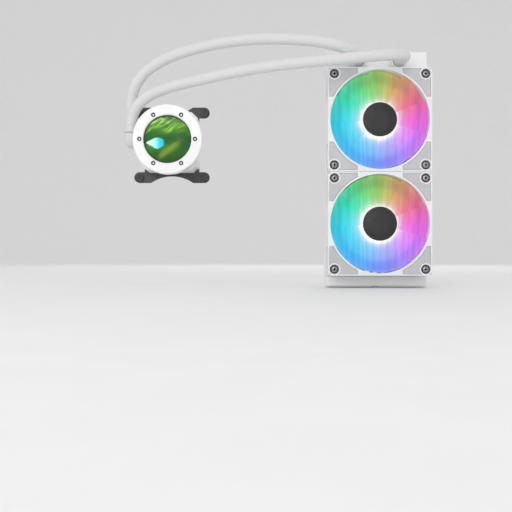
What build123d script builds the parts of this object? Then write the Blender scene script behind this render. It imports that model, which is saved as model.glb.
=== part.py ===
from build123d import *
from math import pi, radians, sqrt, tan
import os

os.makedirs("parts", exist_ok=True)

# Sealed liquid cooler: a two-fan radiator, its two hoses and the pump head that they end in.
# Millimetres, +Z up. The fans face -Y, and +X is to the right of someone who looks at them.
# The origin is on the radiator's rear face, at the centre of its bolt pattern, midway between the fans.
# "Height" of a pump or fan feature is its distance in front of the rear face, along -Y.

# ------------------------------------------------------------------ driving sizes: radiator
fan_pitch = 120.0            # height of core that one fan covers
fan_count = 2
cut_overrun = 1.0            # how far a cut runs past the face that it opens
radiator_width = 120.0
radiator_depth = 27.0
port_tank_height = 22.5      # the tank with the hose ports, at the top
end_tank_height = 11.5
tank_wall = 1.6
tank_corner = 3.0
header_thickness = 1.5
header_lip = 0.8             # how far a header plate stands inside the tank's outline
rail_thickness = 1.0
rail_flange = 13.0           # how far a side rail's flange reaches in over the core
tube_count = 12
tube_thickness = 2.0
tube_wall = 0.35
tube_stand = 2.0             # tube end past the header plate
braze_gap = 0.05
fin_fold = 10.0              # length of one full fold of a fin strip
fin_sheet = 0.5              # fin sheet measured along X, across its slope
core_gap = 1.5               # room between the bolt collars and the tubes
bolt_pitch = 105.0           # hole pattern of a 120 mm fan
bolt_bore = 3.2
collar_wall = 1.15
collar_length = 2.0
plug_thread = 6.0
plug_head = 9.0
plug_head_height = 1.5
plug_socket = 3.0

# ------------------------------------------------------------------ driving sizes: hoses and ports
hose_outer = 12.5
hose_bore = 8.4
barb_gap = 0.05
barb_wall = 1.1
port_spacing = 46.0
port_drop = 14.5             # from the top of the port tank down to the port centres
port_flange = 15.0
port_flange_height = 1.5
spigot_length = 2.5
collar_outer = 16.2
collar_gap = 0.05
port_collar_start = 1.5      # from the port flange to the collar
port_collar_length = 11.0
elbow_barrel = 15.0
elbow_rise = 9.0             # from the swivel axis to the end of the elbow's barrel
elbow_barb_length = 10.0
elbow_neck = 10.9
elbow_neck_gap = 0.05
elbow_neck_length = 8.4
elbow_flange_gap = 0.2       # between the port block and the elbow's shoulder
elbow_collar_start = 1.0
elbow_collar_length = 8.5
swivel_reach = 44.0          # from the pump's centre to the elbows' outlet axis
return_height = 19.0         # swivel axes in front of the cold plate
supply_height = 38.0
seal_section = 1.0           # depth of the seal's groove; the groove is twice as wide
seal_play = 0.2              # room beside the seal in its groove

# ------------------------------------------------------------------ driving sizes: fans
fan_gap = 0.3                # between neighbouring fan frames
fan_depth = 25.0
frame_corner = 4.0
frame_bore = 114.4
duct_wall = 2.1
flange_front = 5.0
flange_rear = 4.0
flat_side = 54.0             # length of the full-width side between the corner pockets
pad_side = 52.0              # the same between the corner pads
pad_border = 1.6
pad_depth = 2.0
rear_pad_depth = 1.0
pad_gap = 0.25
fan_bolt_hole = 4.4
screw_seat = 10.8
screw_seat_depth = 3.0
screw_thread = 2.9
screw_head = 6.0
screw_head_height = 2.0
screw_reach = 3.5            # past the radiator's front face
washer_outer = 10.0
washer_bore = 3.4
washer_thickness = 0.8
strut_count = 4
strut_width = 4.0
strut_height = 3.0
strut_set_back = 0.6         # struts stand clear of the radiator by this much
motor_base = 42.0
motor_base_height = 2.0
strut_overlap = 1.0          # the struts reach this far into the motor base
post_outer = 11.0
sleeve_outer = 7.6
shaft_diameter = 3.0
bearing_gap = 0.04
bearing_clear = 0.6          # end clearance of the bearing post and of the windings
shaft_seat = 1.0             # floor left under the bearing
hub_outer = 40.0
hub_wall = 1.6
hub_set_back = 1.4           # hub face behind the frame's front face
hub_length = 17.6
hub_round = 0.9
hub_boss = 8.0
hub_boss_height = 2.5
badge_margin = 0.3
badge_height = 0.6
blade_count = 9
blade_span = 46.0            # degrees that one blade covers; neighbours overlap, one behind the other
blade_tip_gap = 1.0
blade_rise = 16.0            # axial height of a blade
blade_root_thickness = 1.6
blade_tip_thickness = 1.0
blade_camber = 0.05
blade_inset = 0.1            # the blade root reaches this far into the hub wall
blade_overrun = 3.0          # the blade is drawn past its tip, then cut round
magnet_thickness = 2.8
magnet_length = 14.0
magnet_gap = 0.1
stator_air_gap = 0.6
stator_poles = 4
stator_stack = 6.0
stator_inset = 3.0           # stator in front of the hub's open end
stator_yoke = 2.0
stator_shoe = 1.5
pole_width = 4.0
coil_wrap = 1.4
board_thickness = 1.4

# ------------------------------------------------------------------ driving sizes: pump head
pump_x = -244.0
pump_z = 36.5
contact_pad = 44.0
contact_pad_height = 1.0
plate_size = 56.0
plate_thickness = 2.2
plate_corner = 4.0
microfin_field = 30.0
microfin_height = 3.0
microfin_pitch = 1.0
microfin_thickness = 0.4
jet_plate_size = 34.0
jet_plate_thickness = 1.5
flange_size = 66.0
flange_corner = 5.0
flange_height = 2.8
neck_size = 58.0
bracket_thickness = 2.0
bracket_gap = 0.1
block_size = 67.0
block_chamfer = 7.0
block_height = 15.8
port_block_width = 24.0
port_block_front = 46.5
port_block_side = 35.5
stud_pitch = 78.0
stud_thread = 3.0
stud_below = 8.0
stud_collar = 7.0
nut_outer = 10.0
nut_height = 4.0
nut_gap = 0.02
knurl_count = 12
chamber_bore = 28.0
impeller_outer = 24.0
impeller_vanes = 6
impeller_shaft_diameter = 2.5
rotor_outer = 16.0
can_bore = 18.0
can_wall = 1.0
can_flange = 40.0
can_flange_height = 1.5
can_height = 16.0
pump_stator_outer = 40.0
pump_stator_stack = 12.0
shell_outer = 74.0
shell_wall = 2.0
skirt_height = 18.0          # the square foot of the shell, flush with the block below it
ring_back = 49.0             # height at which the front ring starts
ring_outer = 80.0
ring_thickness = 8.0
ring_window = 54.8
ring_lip = 2.4
panel_diameter = 58.0
lens_thickness = 1.5
ring_screw_circle = 63.6
ring_screw_count = 6
ring_screw_thread = 2.5
ring_screw_head = 4.6
ring_screw_seat = 5.2
pump_board_diameter = 55.0
pump_board_height = 42.0
board_post = 4.4
post_circle = 48.0
rim_screw = 2.0
rim_screw_gap = 0.1
rim_screw_length = 4.5
rim_head = 3.8
rim_head_height = 0.7
seal_width = 1.2
seal_height = 1.2
seal_margin = 4.5
jet_slot = 2.0
pocket_gap = 0.2
chamber_floor = 3.0
chamber_inlet = 8.0
passage_radius = 1.8
port_block_length = 14.0
bracket_margin = 3.0
bracket_scallop = 44.0
bracket_scallop_depth = 8.0
stud_collar_height = 4.0
nut_crown = 0.6
nut_slot = 1.2
nut_slot_depth = 0.5
chamber_above_vanes = 7.5
vane_height = 3.0
vane_width = 1.2
vane_root = 3.0
vane_sweep = 50.0
disc_height = 1.5
rotor_end_gap = 0.5
stator_can_gap = 0.2
pump_poles = 6
boss_overlap = 0.4
boss_length = 8.0
ring_screw_grip = 1.8
ring_seat_floor = 0.4
ring_screw_head_height = 1.6
ring_round = 1.2
ring_bevel = 1.0
cable_notch_angle = -60.0
cable_notch_width = 6.0
cable_notch_height = 3.0

# ------------------------------------------------------------------ hose routes, in order of their points
return_route = [
    (-288, -19, 45.5), (-288, -19, 63), (-290.5, -23, 81.5), (-287.5, -26, 100.5), (-276, -29, 117.5),
    (-256, -32, 131), (-229, -36, 141), (-197, -42, 147.5), (-162, -50, 151), (-125, -57, 151),
    (-90, -62.5, 148), (-61, -66, 143.5), (-38, -67, 136), (-23, -52.5, 129.5), (-23, -28.5, 129.5),
]
supply_route = [
    (-288, -38, 45.5), (-288, -38, 62), (-281, -40, 78.5), (-265, -43, 90.5), (-240, -47.5, 98.5),
    (-206, -55, 104.5), (-168, -64, 110.5), (-128, -74, 115), (-88, -82, 117.5), (-48, -87, 120),
    (-6, -87, 124.5), (23, -65, 129.5), (23, -28.5, 129.5),
]

# ------------------------------------------------------------------ sizes that follow from them
core_half = fan_count * fan_pitch / 2
header_outer = core_half + header_thickness
top = header_outer + port_tank_height
bottom = -header_outer - end_tank_height
port_z = top - port_drop
fan_size = fan_pitch - fan_gap
fan_front = radiator_depth + fan_depth
fan_centres = {"upper": fan_pitch / 2, "lower": -fan_pitch / 2}
bolt_heights = [z + side * bolt_pitch / 2 for z in fan_centres.values() for side in (-1, 1)]
tube_depth = radiator_depth - 2 * (rail_thickness + collar_length + core_gap)
core_width = radiator_width - 2 * rail_thickness
fin_height = (core_width - tube_count * tube_thickness) / (tube_count + 1)
tube_step = fin_height + tube_thickness
tube_places = [(i - (tube_count - 1) / 2) * tube_step for i in range(tube_count)]
barb_diameter = hose_bore - 2 * barb_gap
hub_front = fan_front - hub_set_back
motor_back = radiator_depth + strut_set_back
post_top = hub_front - hub_wall - hub_boss_height - bearing_clear
block_back = contact_pad_height + plate_thickness + flange_height + bracket_thickness + 2 * bracket_gap
block_front = block_back + block_height
plate_front = contact_pad_height + plate_thickness
rim = (contact_pad + plate_size) / 4
rim_screw_places = [(x, y) for x in (-rim, 0, rim) for y in (-rim, 0, rim) if (x, y) != (0, 0)]


def front_plane(height, x=0.0, z=0.0):
    """Sketch plane that faces the viewer, `height` in front of the rear face: local y is +Z."""
    return Plane(origin=(x, -height, z), x_dir=(1, 0, 0), z_dir=(0, -1, 0))


def pump_plane(height):
    """Sketch plane on the pump's axis."""
    return front_plane(height, pump_x, pump_z)


def left_plane(x, height, z):
    """Sketch plane that faces -X, centred on an elbow's swivel axis."""
    return Plane(origin=(x, -height, z), x_dir=(0, -1, 0), z_dir=(-1, 0, 0))


def finish(builder, label):
    """Label a finished piece and write it."""
    builder.part.label = label
    export_step(builder.part, f"parts/{label}.step")


def square_points(pitch):
    """The four corners of a square hole pattern."""
    half = pitch / 2
    return [(x, y) for x in (-half, half) for y in (-half, half)]


def corner_region(inner_side, outer_side, round_diameter):
    """Sketch the four corners of a square that a round duct leaves, in the sketch that is open."""
    half_in, half_out = inner_side / 2, outer_side / 2
    middle, width = (half_in + half_out) / 2, half_out - half_in
    with Locations(*[(sx * middle, sy * middle) for sx in (-1, 1) for sy in (-1, 1)]):
        Rectangle(width, width)
    Circle(round_diameter / 2, mode=Mode.SUBTRACT)


def hose_radii(points):
    """The largest arc that each corner's shorter run allows, for a smooth hose."""
    vectors = [Vector(*p) for p in points]
    radii = []
    for before, here, after in zip(vectors, vectors[1:], vectors[2:]):
        turn = radians((here - before).get_angle(after - here))
        shorter = min((here - before).length, (after - here).length)
        radii.append(0.45 * shorter / tan(turn / 2))
    return radii


# ------------------------------------------------------------------ radiator
def make_core():
    slot_z = -header_outer - tube_stand
    length = 2 * (header_outer + tube_stand)
    with BuildPart() as flat_tubes:
        with BuildSketch(Plane.XY.offset(slot_z)):
            with Locations(*[(x, -radiator_depth / 2) for x in tube_places]):
                SlotOverall(tube_depth, tube_thickness, rotation=90)
                SlotOverall(
                    tube_depth - 2 * tube_wall,
                    tube_thickness - 2 * tube_wall,
                    rotation=90,
                    mode=Mode.SUBTRACT,
                )
        extrude(amount=length)
    finish(flat_tubes, "flat_tubes")

    half = fin_height / 2 - braze_gap - fin_sheet / 2
    folds = int(2 * (core_half - 1) // fin_fold)
    start = -folds * fin_fold / 2
    crests = [(half if i % 2 else -half, start + i * fin_fold / 2) for i in range(2 * folds + 1)]
    with BuildPart() as fin_strips:
        with BuildSketch(front_plane((radiator_depth - tube_depth) / 2 + braze_gap)):
            for i in range(tube_count + 1):
                middle = (i - tube_count / 2) * tube_step
                near = [(middle + x - fin_sheet / 2, z) for x, z in crests]
                far = [(middle + x + fin_sheet / 2, z) for x, z in reversed(crests)]
                with BuildLine():
                    Polyline(*near, *far, close=True)
                make_face()
        extrude(amount=tube_depth - 2 * braze_gap)
    finish(fin_strips, "fin_strips")

    with BuildPart() as header_plates:
        for base in (core_half, -header_outer):
            with BuildSketch(Plane.XY.offset(base)):
                with Locations((0, -radiator_depth / 2)):
                    Rectangle(radiator_width - 2 * header_lip, radiator_depth - 2 * header_lip)
                with Locations(*[(x, -radiator_depth / 2) for x in tube_places]):
                    SlotOverall(
                        tube_depth + 2 * braze_gap,
                        tube_thickness + 2 * braze_gap,
                        rotation=90,
                        mode=Mode.SUBTRACT,
                    )
            extrude(amount=header_thickness)
    finish(header_plates, "header_plates")


def make_tanks():
    with BuildPart() as port_tank:
        with BuildSketch(Plane.XY.offset(header_outer)):
            with Locations((0, -radiator_depth / 2)):
                RectangleRounded(radiator_width, radiator_depth, tank_corner)
        extrude(amount=port_tank_height)
        fillet(port_tank.faces().sort_by(Axis.Z)[-1].edges(), tank_wall)
        with BuildSketch(Plane.XY.offset(header_outer)):
            with Locations((0, -radiator_depth / 2)):
                RectangleRounded(
                    radiator_width - 2 * tank_wall, radiator_depth - 2 * tank_wall, tank_corner - tank_wall / 2
                )
        extrude(amount=port_tank_height - tank_wall, mode=Mode.SUBTRACT)
        with BuildSketch(front_plane(radiator_depth - tank_wall - braze_gap, 0, port_z)):
            with GridLocations(port_spacing, 1, 2, 1):
                Circle(barb_diameter / 2 + braze_gap)
        extrude(amount=tank_wall + 1, mode=Mode.SUBTRACT)
    finish(port_tank, "port_tank")

    with BuildPart() as end_tank:
        with BuildSketch(Plane.XY.offset(-header_outer)):
            with Locations((0, -radiator_depth / 2)):
                RectangleRounded(radiator_width, radiator_depth, tank_corner)
        extrude(amount=-end_tank_height)
        fillet(end_tank.faces().sort_by(Axis.Z)[0].edges(), tank_wall)
        with BuildSketch(Plane.XY.offset(-header_outer)):
            with Locations((0, -radiator_depth / 2)):
                RectangleRounded(
                    radiator_width - 2 * tank_wall, radiator_depth - 2 * tank_wall, tank_corner - tank_wall / 2
                )
        extrude(amount=tank_wall - end_tank_height, mode=Mode.SUBTRACT)
        with BuildSketch(Plane.XY.offset(bottom - 1)):
            with Locations((0, -radiator_depth / 2)):
                Circle(plug_thread / 2 + braze_gap)
        extrude(amount=tank_wall + 2, mode=Mode.SUBTRACT)
    finish(end_tank, "end_tank")

    baffle_depth = radiator_depth - 2 * tank_wall
    with BuildPart() as tank_baffle:
        with BuildSketch(Plane.XY.offset(header_outer)):
            with Locations((0, -radiator_depth / 2)):
                Rectangle(tank_wall, baffle_depth)
        extrude(amount=port_tank_height - tank_wall)
    finish(tank_baffle, "tank_baffle")

    with BuildPart() as tank_ports:
        barb_end = radiator_depth + port_flange_height + port_collar_start + port_collar_length
        inner_end = radiator_depth - spigot_length
        for x in (-port_spacing / 2, port_spacing / 2):
            with BuildSketch(front_plane(inner_end, x, port_z)):
                Circle(barb_diameter / 2)
            extrude(amount=barb_end - inner_end)
            with BuildSketch(front_plane(radiator_depth, x, port_z)):
                Circle(port_flange / 2)
            extrude(amount=port_flange_height)
            with BuildSketch(front_plane(inner_end, x, port_z)):
                Circle(barb_diameter / 2 - barb_wall)
            extrude(amount=barb_end - inner_end, mode=Mode.SUBTRACT)
    finish(tank_ports, "tank_ports")

    with BuildPart() as fill_plug:
        with BuildSketch(Plane.XY.offset(bottom)):
            with Locations((0, -radiator_depth / 2)):
                Circle(plug_head / 2)
        extrude(amount=-plug_head_height)
        with BuildSketch(Plane.XY.offset(bottom)):
            with Locations((0, -radiator_depth / 2)):
                Circle(plug_thread / 2)
        extrude(amount=2 * tank_wall)
        with BuildSketch(Plane.XY.offset(bottom - plug_head_height)):
            with Locations((0, -radiator_depth / 2)):
                RegularPolygon(plug_socket / 2, 6)
        extrude(amount=plug_head_height + tank_wall, mode=Mode.SUBTRACT)
    finish(fill_plug, "fill_plug")


def make_side_rail(side, label):
    """A folded channel with a bolt collar behind each of its screw holes; side is -1 or +1."""
    outer = side * radiator_width / 2
    inner = outer - side * rail_flange
    web = outer - side * rail_thickness
    back, front = 0.0, -radiator_depth
    collar = bolt_bore + 2 * collar_wall
    bolt_x = side * bolt_pitch / 2
    with BuildPart() as rail:
        with BuildSketch(Plane.XY.offset(-core_half)):
            with BuildLine():
                Polyline(
                    (inner, back), (outer, back), (outer, front), (inner, front),
                    (inner, front + rail_thickness), (web, front + rail_thickness),
                    (web, back - rail_thickness), (inner, back - rail_thickness), close=True,
                )
            make_face()
        extrude(amount=2 * core_half)
        holes = [(bolt_x, z) for z in bolt_heights]
        for height in (rail_thickness, radiator_depth - rail_thickness - collar_length):
            with BuildSketch(front_plane(height)):
                with Locations(*holes):
                    Circle(collar / 2)
            extrude(amount=collar_length)
        with BuildSketch(front_plane(-1)):
            with Locations(*holes):
                Circle(bolt_bore / 2)
        extrude(amount=radiator_depth + 2, mode=Mode.SUBTRACT)
    finish(rail, label)


# ------------------------------------------------------------------ fans
def make_fan_frame(name, centre):
    rear = radiator_depth
    duct = frame_bore + 2 * duct_wall
    inside = fan_size - 2 * pad_border
    with BuildPart() as frame:
        with BuildSketch(front_plane(rear, 0, centre)):
            RectangleRounded(fan_size, fan_size, frame_corner)
        extrude(amount=fan_depth)
        with BuildSketch(front_plane(rear + flange_rear, 0, centre)):
            corner_region(flat_side, fan_size + 2, duct)
        extrude(amount=fan_depth - flange_rear - flange_front, mode=Mode.SUBTRACT)
        with BuildSketch(front_plane(fan_front - pad_depth, 0, centre)):
            corner_region(pad_side, inside, duct)
        extrude(amount=pad_depth, mode=Mode.SUBTRACT)
        with BuildSketch(front_plane(rear, 0, centre)):
            corner_region(pad_side, inside, duct)
        extrude(amount=rear_pad_depth, mode=Mode.SUBTRACT)
        with BuildSketch(front_plane(rear, 0, centre)):
            Circle(frame_bore / 2)
        extrude(amount=fan_depth, mode=Mode.SUBTRACT)
        with BuildSketch(front_plane(rear, 0, centre)):
            with Locations(*square_points(bolt_pitch)):
                Circle(fan_bolt_hole / 2)
        extrude(amount=fan_depth, mode=Mode.SUBTRACT)
        with BuildSketch(front_plane(fan_front - screw_seat_depth, 0, centre)):
            with Locations(*square_points(bolt_pitch)):
                Circle(screw_seat / 2)
        extrude(amount=screw_seat_depth, mode=Mode.SUBTRACT)
        strut_length = (frame_bore + duct_wall) / 2
        with BuildSketch(front_plane(motor_back, 0, centre)):
            Circle(motor_base / 2)
        extrude(amount=motor_base_height)
        with BuildSketch(front_plane(motor_back, 0, centre)):
            with PolarLocations(strut_length / 2, strut_count, start_angle=180 / strut_count):
                Rectangle(strut_length, strut_width)
            Circle(motor_base / 2 - strut_overlap, mode=Mode.SUBTRACT)
        extrude(amount=strut_height)
        with BuildSketch(front_plane(motor_back, 0, centre)):
            Circle(post_outer / 2)
        extrude(amount=post_top - motor_back)
        with BuildSketch(front_plane(motor_back + shaft_seat, 0, centre)):
            Circle(sleeve_outer / 2)
        extrude(amount=post_top - motor_back, mode=Mode.SUBTRACT)
    finish(frame, f"{name}_fan_frame")

    with BuildPart() as pads:
        with BuildSketch(front_plane(fan_front - pad_depth, 0, centre)):
            corner_region(pad_side + 2 * pad_gap, inside - 2 * pad_gap, duct + 2 * pad_gap)
            with Locations(*square_points(bolt_pitch)):
                Circle(screw_seat / 2, mode=Mode.SUBTRACT)
        extrude(amount=pad_depth - pad_gap)
        with BuildSketch(front_plane(rear, 0, centre)):
            corner_region(pad_side + 2 * pad_gap, inside - 2 * pad_gap, duct + 2 * pad_gap)
            with Locations(*square_points(bolt_pitch)):
                Circle(screw_seat / 2, mode=Mode.SUBTRACT)
        extrude(amount=rear_pad_depth)
    finish(pads, f"{name}_fan_corner_pads")


def blade_section(radius, centre, height):
    """Plane that stands across a blade at one radius: local x is round the hub, local y is forward."""
    return Plane(origin=(radius, -height, centre), x_dir=(0, 0, 1), z_dir=(1, 0, 0))


def blade_profile(radius, thickness):
    """A curved plate from the trailing edge, at the back, to the leading edge, at the front."""
    reach = radius * tan(radians(blade_span / 2))
    rise = blade_rise / 2
    chord = 2 * sqrt(reach**2 + rise**2)
    normal = Vector(-2 * rise / chord, 2 * reach / chord)
    tail, lead = Vector(-reach, -rise), Vector(reach, rise)
    crown = normal * blade_camber * chord
    half = normal * thickness / 2
    with BuildSketch() as profile:
        with BuildLine():
            ThreePointArc(tail + half, crown + half, lead + half)
            Line(lead + half, lead - half)
            ThreePointArc(lead - half, crown - half, tail - half)
            Line(tail - half, tail + half)
        make_face()
    return profile.sketch


def make_fan_rotor(name, centre):
    hub_back = hub_front - hub_length
    hub_inside = hub_outer / 2 - hub_wall
    blade_middle = hub_front - hub_round - (blade_rise + blade_root_thickness) / 2
    tip = frame_bore / 2 - blade_tip_gap
    root = hub_inside + blade_inset
    past_tip = tip + blade_overrun
    with BuildPart() as blade:
        for share in (0, 1 / 3, 2 / 3, 1):
            station = root + share * (past_tip - root)
            thickness = blade_root_thickness + share * (blade_tip_thickness - blade_root_thickness)
            with BuildSketch(blade_section(station, centre, blade_middle)):
                add(blade_profile(station, thickness))
        loft()
    axis = Axis((0, 0, centre), (0, 1, 0))
    with BuildPart() as rotor:
        for i in range(blade_count):
            add(blade.part.rotate(axis, i * 360 / blade_count))
        with BuildSketch(front_plane(radiator_depth, 0, centre)):
            Circle(tip)
        extrude(amount=fan_depth, mode=Mode.INTERSECT)
        with BuildSketch(front_plane(hub_back, 0, centre)):
            Circle(hub_outer / 2)
        extrude(amount=hub_length)
        fillet(rotor.faces().filter_by(Axis.Y).sort_by(Axis.Y)[0].edges(), hub_round)
        with BuildSketch(front_plane(hub_back, 0, centre)):
            Circle(hub_inside)
        extrude(amount=hub_length - hub_wall, mode=Mode.SUBTRACT)
        with BuildSketch(front_plane(hub_front - hub_wall - hub_boss_height, 0, centre)):
            Circle(hub_boss / 2)
            Circle(shaft_diameter / 2, mode=Mode.SUBTRACT)
        extrude(amount=hub_boss_height)
    finish(rotor, f"{name}_fan_rotor")

    with BuildPart() as badge:
        with BuildSketch(front_plane(hub_front, 0, centre)):
            Circle(hub_outer / 2 - hub_round - badge_margin)
        extrude(amount=badge_height)
        chamfer(badge.faces().sort_by(Axis.Y)[0].edges(), badge_height / 3)
    finish(badge, f"{name}_fan_hub_badge")

    magnet_front = hub_front - hub_wall - magnet_gap
    with BuildPart() as magnet:
        with BuildSketch(front_plane(magnet_front - magnet_length, 0, centre)):
            Circle(hub_inside)
            Circle(hub_inside - magnet_thickness, mode=Mode.SUBTRACT)
        extrude(amount=magnet_length)
    finish(magnet, f"{name}_fan_magnet_ring")

    shaft_back = motor_back + shaft_seat + bearing_clear / 2
    with BuildPart() as shaft:
        with BuildSketch(front_plane(shaft_back, 0, centre)):
            Circle(shaft_diameter / 2)
        extrude(amount=hub_front - hub_wall - shaft_back)
    finish(shaft, f"{name}_fan_shaft")


def make_fan_motor(name, centre):
    base_front = motor_back + motor_base_height
    stator_back = hub_front - hub_length + stator_inset
    sleeve_back = motor_back + shaft_seat + bearing_clear
    with BuildPart() as sleeve:
        with BuildSketch(front_plane(sleeve_back, 0, centre)):
            Circle(sleeve_outer / 2)
            Circle(shaft_diameter / 2 + bearing_gap, mode=Mode.SUBTRACT)
        extrude(amount=post_top - sleeve_back)
    finish(sleeve, f"{name}_fan_bearing_sleeve")

    stator_outer = hub_outer / 2 - hub_wall - magnet_thickness - stator_air_gap
    yoke = post_outer / 2 + stator_yoke
    shoe = stator_outer - stator_shoe
    pole_middle, pole_length = (yoke + shoe) / 2, shoe - yoke
    with BuildPart() as stator:
        with BuildSketch(front_plane(stator_back, 0, centre)):
            Circle(stator_outer)
            Circle(shoe, mode=Mode.SUBTRACT)
            with PolarLocations(stator_outer, stator_poles, start_angle=180 / stator_poles):
                Rectangle(4 * stator_shoe, pole_width, mode=Mode.SUBTRACT)
            Circle(yoke)
            with PolarLocations(pole_middle, stator_poles):
                Rectangle(pole_length + stator_shoe, pole_width)
            Circle(post_outer / 2, mode=Mode.SUBTRACT)
        extrude(amount=stator_stack)
    finish(stator, f"{name}_fan_stator_core")

    coil_length = pole_length - 2 * bearing_clear
    with BuildPart() as coils:
        with BuildSketch(front_plane(stator_back - coil_wrap, 0, centre)):
            with PolarLocations(pole_middle, stator_poles):
                Rectangle(coil_length, pole_width + 2 * coil_wrap)
        extrude(amount=stator_stack + 2 * coil_wrap)
        with BuildSketch(front_plane(stator_back, 0, centre)):
            with PolarLocations(pole_middle, stator_poles):
                Rectangle(coil_length + cut_overrun, pole_width)
        extrude(amount=stator_stack, mode=Mode.SUBTRACT)
    finish(coils, f"{name}_fan_stator_coils")

    with BuildPart() as board:
        with BuildSketch(front_plane(base_front, 0, centre)):
            Circle(hub_outer / 2 - hub_wall - stator_air_gap)
            Circle(post_outer / 2, mode=Mode.SUBTRACT)
        extrude(amount=board_thickness)
    finish(board, f"{name}_fan_circuit_board")


def make_fan_fasteners():
    places = [(x, z) for x in (-bolt_pitch / 2, bolt_pitch / 2) for z in bolt_heights]
    washer_back = fan_front - screw_seat_depth
    head_back = washer_back + washer_thickness
    shank_back = radiator_depth - screw_reach
    with BuildPart() as screw_washers:
        with BuildSketch(front_plane(washer_back)):
            with Locations(*places):
                Circle(washer_outer / 2)
                Circle(washer_bore / 2, mode=Mode.SUBTRACT)
        extrude(amount=washer_thickness)
    finish(screw_washers, "screw_washers")

    with BuildPart() as fan_screws:
        with BuildSketch(front_plane(head_back)):
            with Locations(*places):
                Circle(screw_head / 2)
        extrude(amount=screw_head_height)
        fillet(fan_screws.faces().filter_by(Axis.Y).group_by(Axis.Y)[0].edges(), screw_head_height / 4)
        with BuildSketch(front_plane(shank_back)):
            with Locations(*places):
                Circle(screw_thread / 2)
        extrude(amount=head_back - shank_back)
        with BuildSketch(front_plane(head_back + screw_head_height / 2)):
            with Locations(*places):
                Rectangle(screw_head * 0.6, screw_head / 8)
                Rectangle(screw_head / 8, screw_head * 0.6)
        extrude(amount=screw_head_height, mode=Mode.SUBTRACT)
    finish(fan_screws, "fan_screws")


# ------------------------------------------------------------------ hoses, elbows and collars
def make_hose(points, label):
    radii = hose_radii(points)
    print(label, "arc radii", [round(radius, 1) for radius in radii])
    start = Vector(*points[0])
    with BuildPart() as hose:
        with BuildLine() as route:
            FilletPolyline(*points, radius=radii)
        with BuildSketch(Plane(origin=start, z_dir=Vector(*points[1]) - start)):
            Circle(hose_outer / 2)
            Circle(hose_bore / 2, mode=Mode.SUBTRACT)
        sweep(path=route.wire())
    area = pi * (hose_outer**2 - hose_bore**2) / 4
    length = route.wire().length
    share = hose.part.volume / (area * length)
    print(label, "length", round(length, 1), "volume over section times length", round(share, 5))
    finish(hose, label)


def make_elbow(height, name):
    """A swivelling elbow: its neck turns in the port block and its barb points up into the hose."""
    side_x = pump_x - port_block_side
    outlet_x = pump_x - swivel_reach
    neck_end = side_x + elbow_neck_length
    seal_x = side_x + elbow_neck_length / 2
    barb_end = elbow_rise + elbow_barb_length
    up = Plane(origin=(outlet_x, -height, pump_z), x_dir=(1, 0, 0), z_dir=(0, 0, 1))
    with BuildPart() as elbow:
        with BuildSketch(left_plane(neck_end, height, pump_z)):
            Circle(elbow_neck / 2)
        extrude(amount=neck_end - outlet_x)
        with BuildSketch(left_plane(side_x - elbow_flange_gap, height, pump_z)):
            Circle(elbow_barrel / 2)
        extrude(amount=side_x - elbow_flange_gap - outlet_x)
        with Locations((outlet_x, -height, pump_z)):
            Sphere(elbow_barrel / 2)
        with BuildSketch(up):
            Circle(elbow_barrel / 2)
        extrude(amount=elbow_rise)
        with BuildSketch(up):
            Circle(barb_diameter / 2)
        extrude(amount=barb_end)
        with BuildSketch(up):
            Circle(barb_diameter / 2 - barb_wall)
        extrude(amount=barb_end, mode=Mode.SUBTRACT)
        with BuildSketch(left_plane(neck_end, height, pump_z)):
            Circle(barb_diameter / 2 - barb_wall)
        extrude(amount=neck_end - outlet_x, mode=Mode.SUBTRACT)
        with BuildSketch(left_plane(seal_x + seal_section, height, pump_z)):
            Circle(elbow_neck / 2 + cut_overrun)
            Circle(elbow_neck / 2 - seal_section, mode=Mode.SUBTRACT)
        extrude(amount=2 * seal_section, mode=Mode.SUBTRACT)
    finish(elbow, f"{name}_elbow")

    with BuildPart() as seal:
        with BuildSketch(left_plane(seal_x + seal_section - seal_play, height, pump_z)):
            Circle(elbow_neck / 2 + elbow_neck_gap / 2)
            Circle(elbow_neck / 2 - seal_section, mode=Mode.SUBTRACT)
        extrude(amount=2 * (seal_section - seal_play))
    finish(seal, f"{name}_elbow_seal")

    collar_back = elbow_rise + elbow_collar_start
    collar_plane = Plane(up.origin + Vector(0, 0, collar_back), x_dir=(1, 0, 0), z_dir=(0, 0, 1))
    with BuildPart() as collar:
        with BuildSketch(collar_plane):
            Circle(collar_outer / 2)
            Circle(hose_outer / 2 + collar_gap, mode=Mode.SUBTRACT)
        extrude(amount=elbow_collar_length)
        rim_edge = collar.faces().sort_by(Axis.Z)[-1].edges().sort_by(SortBy.LENGTH)[-1]
        chamfer(rim_edge, (collar_outer - hose_outer) / 4)
    finish(collar, f"{name}_pump_collar")


def make_radiator_collars():
    start = radiator_depth + port_flange_height + port_collar_start
    with BuildPart() as radiator_collars:
        for x in (-port_spacing / 2, port_spacing / 2):
            with BuildSketch(front_plane(start, x, port_z)):
                Circle(collar_outer / 2)
                Circle(hose_outer / 2 + collar_gap, mode=Mode.SUBTRACT)
            extrude(amount=port_collar_length)
    finish(radiator_collars, "radiator_collars")


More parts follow.
